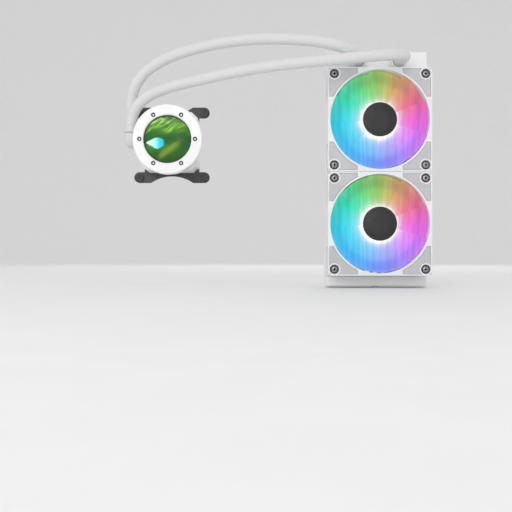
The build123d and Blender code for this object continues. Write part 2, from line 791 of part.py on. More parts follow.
# ------------------------------------------------------------------ pump head
def make_cold_plate():
    with BuildPart() as cold_plate:
        with BuildSketch(pump_plane(0)):
            RectangleRounded(contact_pad, contact_pad, plate_corner / 2)
        extrude(amount=contact_pad_height)
        with BuildSketch(pump_plane(contact_pad_height)):
            RectangleRounded(plate_size, plate_size, plate_corner)
        extrude(amount=plate_thickness)
        with BuildSketch(pump_plane(plate_front)):
            with GridLocations(microfin_pitch, 1, int(microfin_field // microfin_pitch), 1):
                Rectangle(microfin_thickness, microfin_field)
        extrude(amount=microfin_height)
        with BuildSketch(pump_plane(contact_pad_height)):
            with Locations(*rim_screw_places):
                Circle(rim_screw / 2 + rim_screw_gap)
        extrude(amount=plate_thickness, mode=Mode.SUBTRACT)
    finish(cold_plate, "cold_plate")

    with BuildPart() as cold_plate_screws:
        with BuildSketch(pump_plane(contact_pad_height)):
            with Locations(*rim_screw_places):
                Circle(rim_head / 2)
        extrude(amount=-rim_head_height)
        with BuildSketch(pump_plane(contact_pad_height)):
            with Locations(*rim_screw_places):
                Circle(rim_screw / 2)
        extrude(amount=rim_screw_length)
        with BuildSketch(pump_plane(contact_pad_height - rim_head_height)):
            with Locations(*rim_screw_places):
                RegularPolygon(rim_head / 4, 6)
        extrude(amount=rim_head_height, mode=Mode.SUBTRACT)
    finish(cold_plate_screws, "cold_plate_screws")

    with BuildPart() as cold_plate_seal:
        with BuildSketch(pump_plane(plate_front)):
            draw_seal(0)
        extrude(amount=seal_height)
    finish(cold_plate_seal, "cold_plate_seal")

    with BuildPart() as jet_plate:
        with BuildSketch(pump_plane(plate_front + microfin_height)):
            RectangleRounded(jet_plate_size, jet_plate_size, plate_corner / 2)
            Rectangle(microfin_field - plate_corner, jet_slot, mode=Mode.SUBTRACT)
        extrude(amount=jet_plate_thickness)
    finish(jet_plate, "jet_plate")


def draw_seal(gap):
    """The square ring of the cold plate's seal, or its groove with a gap on both sides."""
    outer = jet_plate_size + 2 * seal_margin + 2 * gap
    inner = outer - 2 * seal_width - 4 * gap
    RectangleRounded(outer, outer, seal_margin)
    RectangleRounded(inner, inner, seal_margin - seal_width, mode=Mode.SUBTRACT)


def block_outline():
    """The square outline with cut corners that the block and the shell's skirt share."""
    with BuildSketch() as outline:
        Rectangle(block_size, block_size)
        chamfer(outline.vertices(), block_chamfer)
    return outline.sketch


def make_pump_housing():
    pocket_front = plate_front + microfin_height + jet_plate_thickness + pocket_gap
    chamber_back = pocket_front + chamber_floor
    neck_back = plate_front + flange_height
    side_x = pump_x - port_block_side
    bore_depth = elbow_neck_length + pocket_gap
    # The supply bore opens into a passage that runs down beside the return bore.
    down_x = -port_block_side + bore_depth + 2 * passage_radius / 3 + passage_radius
    down_y = port_block_width / 2 - 2 * passage_radius
    bore_end = -port_block_side + bore_depth
    with BuildPart() as pump_housing:
        with BuildSketch(pump_plane(plate_front)):
            RectangleRounded(flange_size, flange_size, flange_corner)
        extrude(amount=flange_height)
        with BuildSketch(pump_plane(neck_back)):
            RectangleRounded(neck_size, neck_size, flange_corner)
        extrude(amount=block_back - neck_back)
        with BuildSketch(pump_plane(block_back)):
            add(block_outline())
        extrude(amount=block_height)
        with BuildSketch(pump_plane(block_back)):
            with Locations((port_block_length / 2 - port_block_side, 0)):
                Rectangle(port_block_length, port_block_width)
        extrude(amount=port_block_front - block_back)
        with BuildSketch(pump_plane(block_front)):
            with PolarLocations(post_circle / 2, 4, start_angle=45):
                Circle(board_post / 2)
        extrude(amount=pump_board_height - block_front)
        with BuildSketch(pump_plane(plate_front)):
            draw_seal(braze_gap)
        extrude(amount=seal_height, mode=Mode.SUBTRACT)
        with BuildSketch(pump_plane(plate_front)):
            side = jet_plate_size + pocket_gap
            RectangleRounded(side, side, plate_corner / 2)
        extrude(amount=pocket_front - plate_front, mode=Mode.SUBTRACT)
        with BuildSketch(pump_plane(plate_front)):
            Circle(chamber_inlet / 2)
        extrude(amount=chamber_back - plate_front, mode=Mode.SUBTRACT)
        with BuildSketch(pump_plane(chamber_back)):
            Circle(chamber_bore / 2)
        extrude(amount=block_front - chamber_back, mode=Mode.SUBTRACT)
        with BuildSketch(pump_plane(contact_pad_height)):
            with Locations(*rim_screw_places):
                Circle(rim_screw / 2)
        extrude(amount=rim_screw_length, mode=Mode.SUBTRACT)
        for height in (return_height, supply_height):
            with BuildSketch(left_plane(side_x + bore_depth, height, pump_z)):
                Circle(elbow_neck / 2 + elbow_neck_gap)
            extrude(amount=bore_depth + cut_overrun, mode=Mode.SUBTRACT)
        with BuildSketch(left_plane(pump_x - chamber_bore / 2 + cut_overrun, return_height, pump_z)):
            Circle(barb_diameter / 2 - barb_wall)
        extrude(amount=2 * cut_overrun - chamber_bore / 2 - bore_end, mode=Mode.SUBTRACT)
        with BuildSketch(pump_plane(supply_height - passage_radius)):
            with Locations(((bore_end - cut_overrun + down_x) / 2, down_y / 2)):
                Rectangle(down_x - bore_end + cut_overrun, down_y)
        extrude(amount=2 * passage_radius, mode=Mode.SUBTRACT)
        with BuildSketch(pump_plane(neck_back)):
            with Locations((down_x, down_y)):
                Circle(passage_radius)
        extrude(amount=supply_height + passage_radius - neck_back, mode=Mode.SUBTRACT)
        pocket_edge = cut_overrun - jet_plate_size / 2
        with BuildSketch(pump_plane(neck_back)):
            with Locations(((down_x + pocket_edge) / 2, down_y)):
                Rectangle(pocket_edge - down_x, passage_radius)
        extrude(amount=passage_radius, mode=Mode.SUBTRACT)
    finish(pump_housing, "pump_housing")


def make_bracket():
    neck_back = plate_front + flange_height
    back = neck_back + bracket_gap
    front = back + bracket_thickness
    half = stud_pitch / 2
    inner = neck_size / 2 + bracket_gap
    bar = stud_collar / 2 + bracket_margin
    with BuildPart() as mounting_bracket:
        for side in (-1, 1):
            with BuildSketch(pump_plane(back)):
                with Locations((0, side * (inner + half) / 2)):
                    Rectangle(flange_size, half - inner)
                with Locations((0, side * half)):
                    SlotOverall(stud_pitch + 2 * bar, 2 * bar)
                with Locations((0, side * (half + bar + bracket_scallop - bracket_scallop_depth))):
                    Circle(bracket_scallop, mode=Mode.SUBTRACT)
                with Locations((-half, side * half), (half, side * half)):
                    Circle(stud_thread / 2 + bracket_gap, mode=Mode.SUBTRACT)
            extrude(amount=bracket_thickness)
    finish(mounting_bracket, "mounting_bracket")

    nut_front = front + nut_height
    stud_tip = nut_front - nut_crown
    with BuildPart() as bracket_studs:
        with BuildSketch(pump_plane(-stud_below)):
            with Locations(*square_points(stud_pitch)):
                Circle(stud_thread / 2)
        extrude(amount=stud_tip + stud_below)
        with BuildSketch(pump_plane(back - stud_collar_height)):
            with Locations(*square_points(stud_pitch)):
                Circle(stud_collar / 2)
        extrude(amount=stud_collar_height)
    finish(bracket_studs, "bracket_studs")

    knurl = nut_outer * pi / knurl_count / 4
    with BuildPart() as thumb_nuts:
        with BuildSketch(pump_plane(front)):
            with Locations(*square_points(stud_pitch)):
                Circle(nut_outer / 2)
                with PolarLocations(nut_outer / 2 + knurl / 2, knurl_count):
                    Circle(knurl, mode=Mode.SUBTRACT)
        extrude(amount=nut_height)
        with BuildSketch(pump_plane(front)):
            with Locations(*square_points(stud_pitch)):
                Circle(stud_thread / 2 + nut_gap)
        extrude(amount=stud_tip - front, mode=Mode.SUBTRACT)
        with BuildSketch(pump_plane(nut_front - nut_slot_depth)):
            with Locations(*square_points(stud_pitch)):
                Rectangle(nut_outer / 2, nut_slot)
                Rectangle(nut_slot, nut_outer / 2)
        extrude(amount=nut_slot_depth, mode=Mode.SUBTRACT)
    finish(thumb_nuts, "thumb_nuts")


def make_pump_motor():
    can_front = block_front + can_height
    vane_back = block_front - chamber_above_vanes - vane_height - disc_height
    disc_back = vane_back + vane_height
    rotor_front = can_front - can_wall - rotor_end_gap
    bore = impeller_shaft_diameter / 2 + bearing_gap
    with BuildPart() as impeller:
        with BuildSketch(pump_plane(vane_back)):
            for vane in range(impeller_vanes):
                start = vane * 360 / impeller_vanes
                root = Vector(vane_root, 0).rotate(Axis.Z, start)
                bend = Vector(impeller_outer / 3, 0).rotate(Axis.Z, start + vane_sweep / 3)
                tip = Vector(impeller_outer / 2 - vane_width / 2, 0).rotate(Axis.Z, start + vane_sweep)
                SlotArc(ThreePointArc(root, bend, tip, mode=Mode.PRIVATE), vane_width)
            Circle(vane_root + vane_width / 2)
            Circle(bore, mode=Mode.SUBTRACT)
        extrude(amount=vane_height)
        with BuildSketch(pump_plane(disc_back)):
            Circle(impeller_outer / 2)
            Circle(bore, mode=Mode.SUBTRACT)
        extrude(amount=disc_height)
        with BuildSketch(pump_plane(disc_back + disc_height)):
            Circle(rotor_outer / 2)
            Circle(bore, mode=Mode.SUBTRACT)
        extrude(amount=rotor_front - disc_back - disc_height)
    finish(impeller, "impeller")

    with BuildPart() as impeller_shaft:
        with BuildSketch(pump_plane(vane_back - rotor_end_gap)):
            Circle(impeller_shaft_diameter / 2)
        extrude(amount=can_front - can_wall - vane_back + rotor_end_gap)
    finish(impeller_shaft, "impeller_shaft")

    with BuildPart() as pump_can:
        with BuildSketch(pump_plane(block_front)):
            Circle(can_flange / 2)
        extrude(amount=can_flange_height)
        with BuildSketch(pump_plane(block_front)):
            Circle(can_bore / 2 + can_wall)
        extrude(amount=can_height)
        with BuildSketch(pump_plane(block_front)):
            Circle(can_bore / 2)
        extrude(amount=can_height - can_wall, mode=Mode.SUBTRACT)
    finish(pump_can, "pump_can")

    stator_back = block_front + can_flange_height + coil_wrap
    tooth_root = can_bore / 2 + can_wall + stator_can_gap
    yoke = pump_stator_outer / 2 - stator_yoke
    with BuildPart() as stator:
        with BuildSketch(pump_plane(stator_back)):
            Circle(pump_stator_outer / 2)
            Circle(yoke, mode=Mode.SUBTRACT)
            with PolarLocations((tooth_root + yoke) / 2, pump_poles, start_angle=180 / pump_poles):
                Rectangle(yoke - tooth_root + stator_yoke, pole_width)
            Circle(tooth_root, mode=Mode.SUBTRACT)
        extrude(amount=pump_stator_stack)
    finish(stator, "pump_stator_core")

    coil_length = yoke - tooth_root - stator_yoke
    coil_middle = yoke - coil_length / 2 - bearing_clear
    with BuildPart() as coils:
        with BuildSketch(pump_plane(stator_back - coil_wrap)):
            with PolarLocations(coil_middle, pump_poles, start_angle=180 / pump_poles):
                Rectangle(coil_length, pole_width + 2 * coil_wrap)
        extrude(amount=pump_stator_stack + 2 * coil_wrap)
        with BuildSketch(pump_plane(stator_back)):
            with PolarLocations(coil_middle, pump_poles, start_angle=180 / pump_poles):
                Rectangle(coil_length + cut_overrun, pole_width)
        extrude(amount=pump_stator_stack, mode=Mode.SUBTRACT)
    finish(coils, "pump_stator_coils")

    with BuildPart() as board:
        with BuildSketch(pump_plane(pump_board_height)):
            Circle(pump_board_diameter / 2)
            with Locations((-port_block_side, 0)):
                Rectangle(2 * (port_block_length + pocket_gap), pump_board_diameter, mode=Mode.SUBTRACT)
        extrude(amount=board_thickness)
    finish(board, "pump_circuit_board")


def make_pump_cover():
    screw_circle = ring_screw_circle / 2
    shell_inside = shell_outer / 2 - shell_wall
    boss_radius = shell_inside - screw_circle + boss_overlap
    screw_back = ring_back - ring_screw_grip
    with BuildPart() as pump_shell:
        with BuildSketch(pump_plane(block_front)):
            add(block_outline())
            Circle(shell_inside, mode=Mode.SUBTRACT)
        extrude(amount=skirt_height)
        with BuildSketch(pump_plane(block_front)):
            Circle(shell_outer / 2)
            Circle(shell_inside, mode=Mode.SUBTRACT)
        extrude(amount=ring_back - block_front)
        with BuildSketch(pump_plane(ring_back - boss_length)):
            with PolarLocations(screw_circle, ring_screw_count):
                Circle(boss_radius)
        extrude(amount=boss_length)
        with BuildSketch(pump_plane(ring_back - boss_length)):
            with PolarLocations(screw_circle, ring_screw_count):
                Circle(ring_screw_thread / 2)
        extrude(amount=boss_length, mode=Mode.SUBTRACT)
        with BuildSketch(pump_plane(block_front)):
            with Locations((-port_block_side, 0)):
                Rectangle(2 * (port_block_length + pocket_gap), port_block_width + 2 * pocket_gap)
        extrude(amount=port_block_front + pocket_gap - block_front, mode=Mode.SUBTRACT)
        with BuildSketch(pump_plane(block_front)):
            with PolarLocations(shell_outer / 2, 1, start_angle=cable_notch_angle):
                Rectangle(4 * shell_wall, cable_notch_width)
        extrude(amount=cable_notch_height, mode=Mode.SUBTRACT)
    finish(pump_shell, "pump_shell")

    ring_front = ring_back + ring_thickness
    lens_front = ring_front - ring_lip
    panel_radius = panel_diameter / 2
    seat_back = lens_front + ring_seat_floor
    with BuildPart() as front_ring:
        with BuildSketch(pump_plane(ring_back)):
            Circle(ring_outer / 2)
            Circle(ring_window / 2, mode=Mode.SUBTRACT)
        extrude(amount=ring_thickness)
        fillet(front_ring.faces().sort_by(Axis.Y)[0].edges().sort_by(SortBy.LENGTH)[-1], ring_round)
        chamfer(front_ring.faces().sort_by(Axis.Y)[0].edges().sort_by(SortBy.LENGTH)[0], ring_bevel)
        with BuildSketch(pump_plane(ring_back)):
            Circle(panel_radius + pocket_gap)
        extrude(amount=lens_front - ring_back, mode=Mode.SUBTRACT)
        with BuildSketch(pump_plane(ring_back)):
            with PolarLocations(screw_circle, ring_screw_count):
                Circle(ring_screw_thread / 2 + bracket_gap)
        extrude(amount=ring_thickness, mode=Mode.SUBTRACT)
        with BuildSketch(pump_plane(seat_back)):
            with PolarLocations(screw_circle, ring_screw_count):
                Circle(ring_screw_seat / 2)
        extrude(amount=ring_front - seat_back, mode=Mode.SUBTRACT)
    finish(front_ring, "front_ring")

    with BuildPart() as display_panel:
        with BuildSketch(pump_plane(ring_back)):
            Circle(panel_radius)
        extrude(amount=lens_front - lens_thickness - ring_back)
    finish(display_panel, "display_panel")

    with BuildPart() as display_lens:
        with BuildSketch(pump_plane(lens_front - lens_thickness)):
            Circle(panel_radius)
        extrude(amount=lens_thickness)
    finish(display_lens, "display_lens")

    with BuildPart() as ring_screws:
        with BuildSketch(pump_plane(seat_back)):
            with PolarLocations(screw_circle, ring_screw_count):
                Circle(ring_screw_head / 2)
        extrude(amount=ring_screw_head_height)
        with BuildSketch(pump_plane(screw_back)):
            with PolarLocations(screw_circle, ring_screw_count):
                Circle(ring_screw_thread / 2)
        extrude(amount=seat_back - screw_back)
        with BuildSketch(pump_plane(seat_back + ring_screw_head_height / 3)):
            with PolarLocations(screw_circle, ring_screw_count):
                RegularPolygon(ring_screw_head / 3.5, 6)
        extrude(amount=ring_screw_head_height, mode=Mode.SUBTRACT)
    finish(ring_screws, "ring_screws")


# ------------------------------------------------------------------ build
make_core()
make_tanks()
make_side_rail(-1, "left_side_rail")
make_side_rail(1, "right_side_rail")
for fan_name, fan_centre in fan_centres.items():
    make_fan_frame(fan_name, fan_centre)
    make_fan_rotor(fan_name, fan_centre)
    make_fan_motor(fan_name, fan_centre)
make_fan_fasteners()
make_hose(return_route, "return_hose")
make_hose(supply_route, "supply_hose")
make_elbow(return_height, "return")
make_elbow(supply_height, "supply")
make_radiator_collars()
make_cold_plate()
make_pump_housing()
make_bracket()
make_pump_motor()
make_pump_cover()
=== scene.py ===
"""Looks for a liquid cooling radiator: two lit fans on a white core, two hoses and a round pump head."""
from __future__ import annotations

import logging
import math
from abc import ABC, abstractmethod
from dataclasses import dataclass
from enum import Enum
from typing import Any, Dict, List, Optional, Sequence, Tuple

import bmesh
import bpy
from mathutils import Matrix, Vector


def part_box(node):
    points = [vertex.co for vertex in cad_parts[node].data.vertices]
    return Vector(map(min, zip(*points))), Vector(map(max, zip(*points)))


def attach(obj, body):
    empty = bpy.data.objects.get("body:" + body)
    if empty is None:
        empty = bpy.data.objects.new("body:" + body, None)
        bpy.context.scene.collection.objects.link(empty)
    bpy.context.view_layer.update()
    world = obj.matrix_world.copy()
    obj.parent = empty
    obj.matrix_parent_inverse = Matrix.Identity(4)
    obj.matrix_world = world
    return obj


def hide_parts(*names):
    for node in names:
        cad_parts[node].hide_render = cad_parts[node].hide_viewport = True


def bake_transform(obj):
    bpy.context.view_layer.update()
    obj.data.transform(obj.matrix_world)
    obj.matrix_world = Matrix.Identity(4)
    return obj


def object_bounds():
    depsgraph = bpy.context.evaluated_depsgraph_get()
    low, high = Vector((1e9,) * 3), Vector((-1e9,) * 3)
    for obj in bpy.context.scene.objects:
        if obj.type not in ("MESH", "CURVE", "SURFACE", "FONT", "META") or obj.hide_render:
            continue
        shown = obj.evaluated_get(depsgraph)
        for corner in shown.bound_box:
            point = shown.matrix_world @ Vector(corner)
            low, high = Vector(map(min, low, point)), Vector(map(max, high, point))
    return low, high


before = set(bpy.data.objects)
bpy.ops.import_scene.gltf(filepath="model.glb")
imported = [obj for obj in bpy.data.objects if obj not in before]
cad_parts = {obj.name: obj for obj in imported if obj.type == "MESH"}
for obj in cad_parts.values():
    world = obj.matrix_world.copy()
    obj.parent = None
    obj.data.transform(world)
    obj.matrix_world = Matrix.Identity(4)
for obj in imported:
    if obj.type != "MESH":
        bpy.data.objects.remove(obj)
CAD_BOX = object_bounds()

Point = Tuple[float, float, float]
Colour = Tuple[float, float, float]
Stop = Tuple[float, Colour]

MM = 0.001
RAY_SAMPLES = 4
# The grey that dust and painted corner shade turn colours towards.
DUST_AND_SHADE_LEVEL = 0.42
log = logging.getLogger("radiator")


def grey(level: float) -> Colour:
    """A neutral colour of that level."""
    return (level, level, level)


def opaque(colour: Colour) -> Tuple[float, float, float, float]:
    """The colour with a full alpha, as node sockets take it."""
    return (*colour, 1.0)


# ---------------------------------------------------------------------------------------- node trees


class Graph:
    """Adds nodes to one shader or geometry tree and links them as it goes."""

    def __init__(self, tree: bpy.types.NodeTree) -> None:
        """Keeps the tree that the nodes go into."""
        self.tree = tree

    def node(self, kind: str, inputs: Optional[Dict[Any, Any]] = None, **settings: Any) -> bpy.types.Node:
        """Adds one node.

        Args:
            kind: the node's type name.
            inputs: what each input socket holds, by name or number: a value, or an output to link.
            settings: the node's own properties.

        Returns:
            The new node.
        """
        node = self.tree.nodes.new(kind)
        for name, value in settings.items():
            setattr(node, name, value)
        for key, value in (inputs or {}).items():
            self.feed(node.inputs[key], value)
        return node

    def feed(self, socket: bpy.types.NodeSocket, value: Any) -> None:
        """Fills a socket.

        Args:
            socket: the input socket.
            value: an output to link to it, or its plain value.
        """
        if isinstance(value, bpy.types.NodeSocket):
            self.tree.links.new(value, socket)
        else:
            socket.default_value = value

    def maths(self, operation: str, a: Any, b: Any = 0.0, clamp: bool = False) -> bpy.types.NodeSocket:
        """The result of one maths step on a and b."""
        kind = "ShaderNodeMath"
        return self.node(kind, {0: a, 1: b}, operation=operation, use_clamp=clamp).outputs[0]

    def product(self, first: Any, *others: Any) -> bpy.types.NodeSocket:
        """Multiplies values.

        Args:
            first: the first value.
            others: the values that it is multiplied by.

        Returns:
            The product.
        """
        for value in others:
            first = self.maths("MULTIPLY", first, value)
        return first

    def total(self, first: Any, *others: Any) -> bpy.types.NodeSocket:
        """Adds values up.

        Args:
            first: the first value.
            others: the values that are added to it.

        Returns:
            The sum.
        """
        for value in others:
            first = self.maths("ADD", first, value)
        return first

    def vector(self, operation: str, a: Any, b: Any = (0.0, 0.0, 0.0)) -> bpy.types.NodeSocket:
        """The vector that one vector maths step gives."""
        return self.node("ShaderNodeVectorMath", {0: a, 1: b}, operation=operation).outputs[0]

    def xyz(self, x: Any = 0.0, y: Any = 0.0, z: Any = 0.0) -> bpy.types.NodeSocket:
        """A vector put together from its three parts."""
        return self.node("ShaderNodeCombineXYZ", {0: x, 1: y, 2: z}).outputs[0]

    def parts(self, vector: Any) -> Any:
        """The outputs that hold a vector's X, Y and Z."""
        return self.node("ShaderNodeSeparateXYZ", {0: vector}).outputs

    def from_axis(self, vector: Any) -> bpy.types.NodeSocket:
        """How far the coordinates lie from the Y axis."""
        flat = self.vector("MULTIPLY", vector, (1.0, 0.0, 1.0))
        return self.node("ShaderNodeVectorMath", {0: flat}, operation="LENGTH").outputs[1]

    def span(self, value: Any, low: float, high: float, to_low: Any = 0.0, to_high: Any = 1.0,
             smooth: bool = True) -> bpy.types.NodeSocket:
        """The value mapped from low..high to to_low..to_high and clamped.

        Args:
            value: the output that is mapped.
            low: the value that gives to_low.
            high: the value that gives to_high.
            to_low: the result at low.
            to_high: the result at high.
            smooth: whether the ends are eased.

        Returns:
            The mapped value.
        """
        kind = "SMOOTHSTEP" if smooth else "LINEAR"
        inputs = {"Value": value, "From Min": low, "From Max": high, "To Min": to_low, "To Max": to_high}
        return self.node("ShaderNodeMapRange", inputs, interpolation_type=kind).outputs["Result"]

    def mix(self, factor: Any, a: Any, b: Any, blend: str = "MIX") -> bpy.types.NodeSocket:
        """Colour a turning to colour b by the factor."""
        node = self.node("ShaderNodeMix", {0: factor, 6: a, 7: b}, data_type="RGBA", blend_type=blend)
        return node.outputs[2]

    def ramp(self, factor: Any, stops: Sequence[Stop], ease: str = "LINEAR") -> bpy.types.NodeSocket:
        """A colour ramp.

        Args:
            factor: where on the ramp to look, from 0 to 1.
            stops: the place and the colour of each stop.
            ease: how the ramp runs between its stops.

        Returns:
            The colour at the factor.
        """
        node = self.node("ShaderNodeValToRGB", {0: factor})
        node.color_ramp.interpolation = ease
        elements = node.color_ramp.elements
        while len(elements) < len(stops):
            elements.new(0.5)
        for element, (place, colour) in zip(elements, stops):
            element.position = place
            element.color = opaque(colour)
        return node.outputs[0]

    def noise(self, vector: Any, scale: Any, detail: float = 3.0, rough: float = 0.5) -> bpy.types.NodeSocket:
        """A noise value about 0.5, over the given coordinates."""
        inputs = {"Vector": vector, "Scale": scale, "Detail": detail, "Roughness": rough}
        return self.node("ShaderNodeTexNoise", inputs).outputs[0]

    def place(self, vector: Any, centre: Point = (0, 0, 0), scale: Point = (1, 1, 1)) -> bpy.types.NodeSocket:
        """Moves and stretches coordinates.

        Args:
            vector: the coordinates.
            centre: the point that becomes the origin.
            scale: the stretch along each axis.

        Returns:
            The coordinates about the centre.
        """
        moved = tuple(-c * s for c, s in zip(centre, scale))
        inputs = {"Vector": vector, "Location": moved, "Scale": scale}
        return self.node("ShaderNodeMapping", inputs).outputs[0]

    def here(self) -> bpy.types.NodeSocket:
        """The place on the piece, in metres."""
        return self.node("ShaderNodeTexCoord").outputs["Object"]


def open_tree(name: str, kind: str, inputs: Sequence[Tuple[str, str, Any]],
              outputs: Sequence[Tuple[str, str]]) -> Tuple[Graph, Any, Any]:
    """Makes an empty node group with its sockets.

    Args:
        name: the group's name.
        kind: "ShaderNodeTree" or "GeometryNodeTree".
        inputs: each input's name, socket type and first value.
        outputs: each output's name and socket type.

    Returns:
        The graph, the group's input sockets and its output sockets.
    """
    tree = bpy.data.node_groups.new(name, kind)
    for label, socket, value in inputs:
        made = tree.interface.new_socket(name=label, in_out="INPUT", socket_type="NodeSocket" + socket)
        if value is not None:
            made.default_value = value
    for label, socket in outputs:
        tree.interface.new_socket(name=label, in_out="OUTPUT", socket_type="NodeSocket" + socket)
    graph = Graph(tree)
    return graph, graph.node("NodeGroupInput").outputs, graph.node("NodeGroupOutput").inputs


# ------------------------------------------------------------------------------------ shared effects


HUB_SIDE_LIGHT: Sequence[Colour] = (
    (0.90, 0.15, 0.70), (0.90, 0.20, 0.27), (0.73, 0.40, 0.17), (0.36, 0.60, 0.14),
    (0.13, 0.74, 0.25), (0.04, 0.77, 0.53), (0.06, 0.72, 0.86), (0.07, 0.68, 0.95),
    (0.14, 0.58, 0.97), (0.27, 0.45, 0.96), (0.48, 0.34, 0.95), (0.78, 0.25, 0.96))
RIM_SIDE_LIGHT: Sequence[Colour] = (
    (0.77, 0.13, 0.68), (0.71, 0.15, 0.25), (0.58, 0.30, 0.15), (0.28, 0.45, 0.11),
    (0.11, 0.55, 0.21), (0.04, 0.62, 0.43), (0.03, 0.57, 0.71), (0.05, 0.51, 0.88),
    (0.09, 0.43, 0.97), (0.17, 0.28, 0.96), (0.35, 0.24, 0.92), (0.55, 0.18, 0.90))
HUB_GLARE = ((0.0, 1.0), (0.05, 0.96), (0.085, 0.72), (0.12, 0.42), (0.18, 0.26), (0.26, 0.13),
             (0.38, 0.045), (0.5, 0.0))
GLARE_SIDE = math.radians(-130.0)
GLARE_SHIFT = 0.9 * MM


def self_closing(colours: Sequence[Colour]) -> List[Stop]:
    """The colours as evenly spaced stops of a ramp that ends where it starts."""
    return [(i / len(colours), colour) for i, colour in enumerate([*colours, colours[0]])]


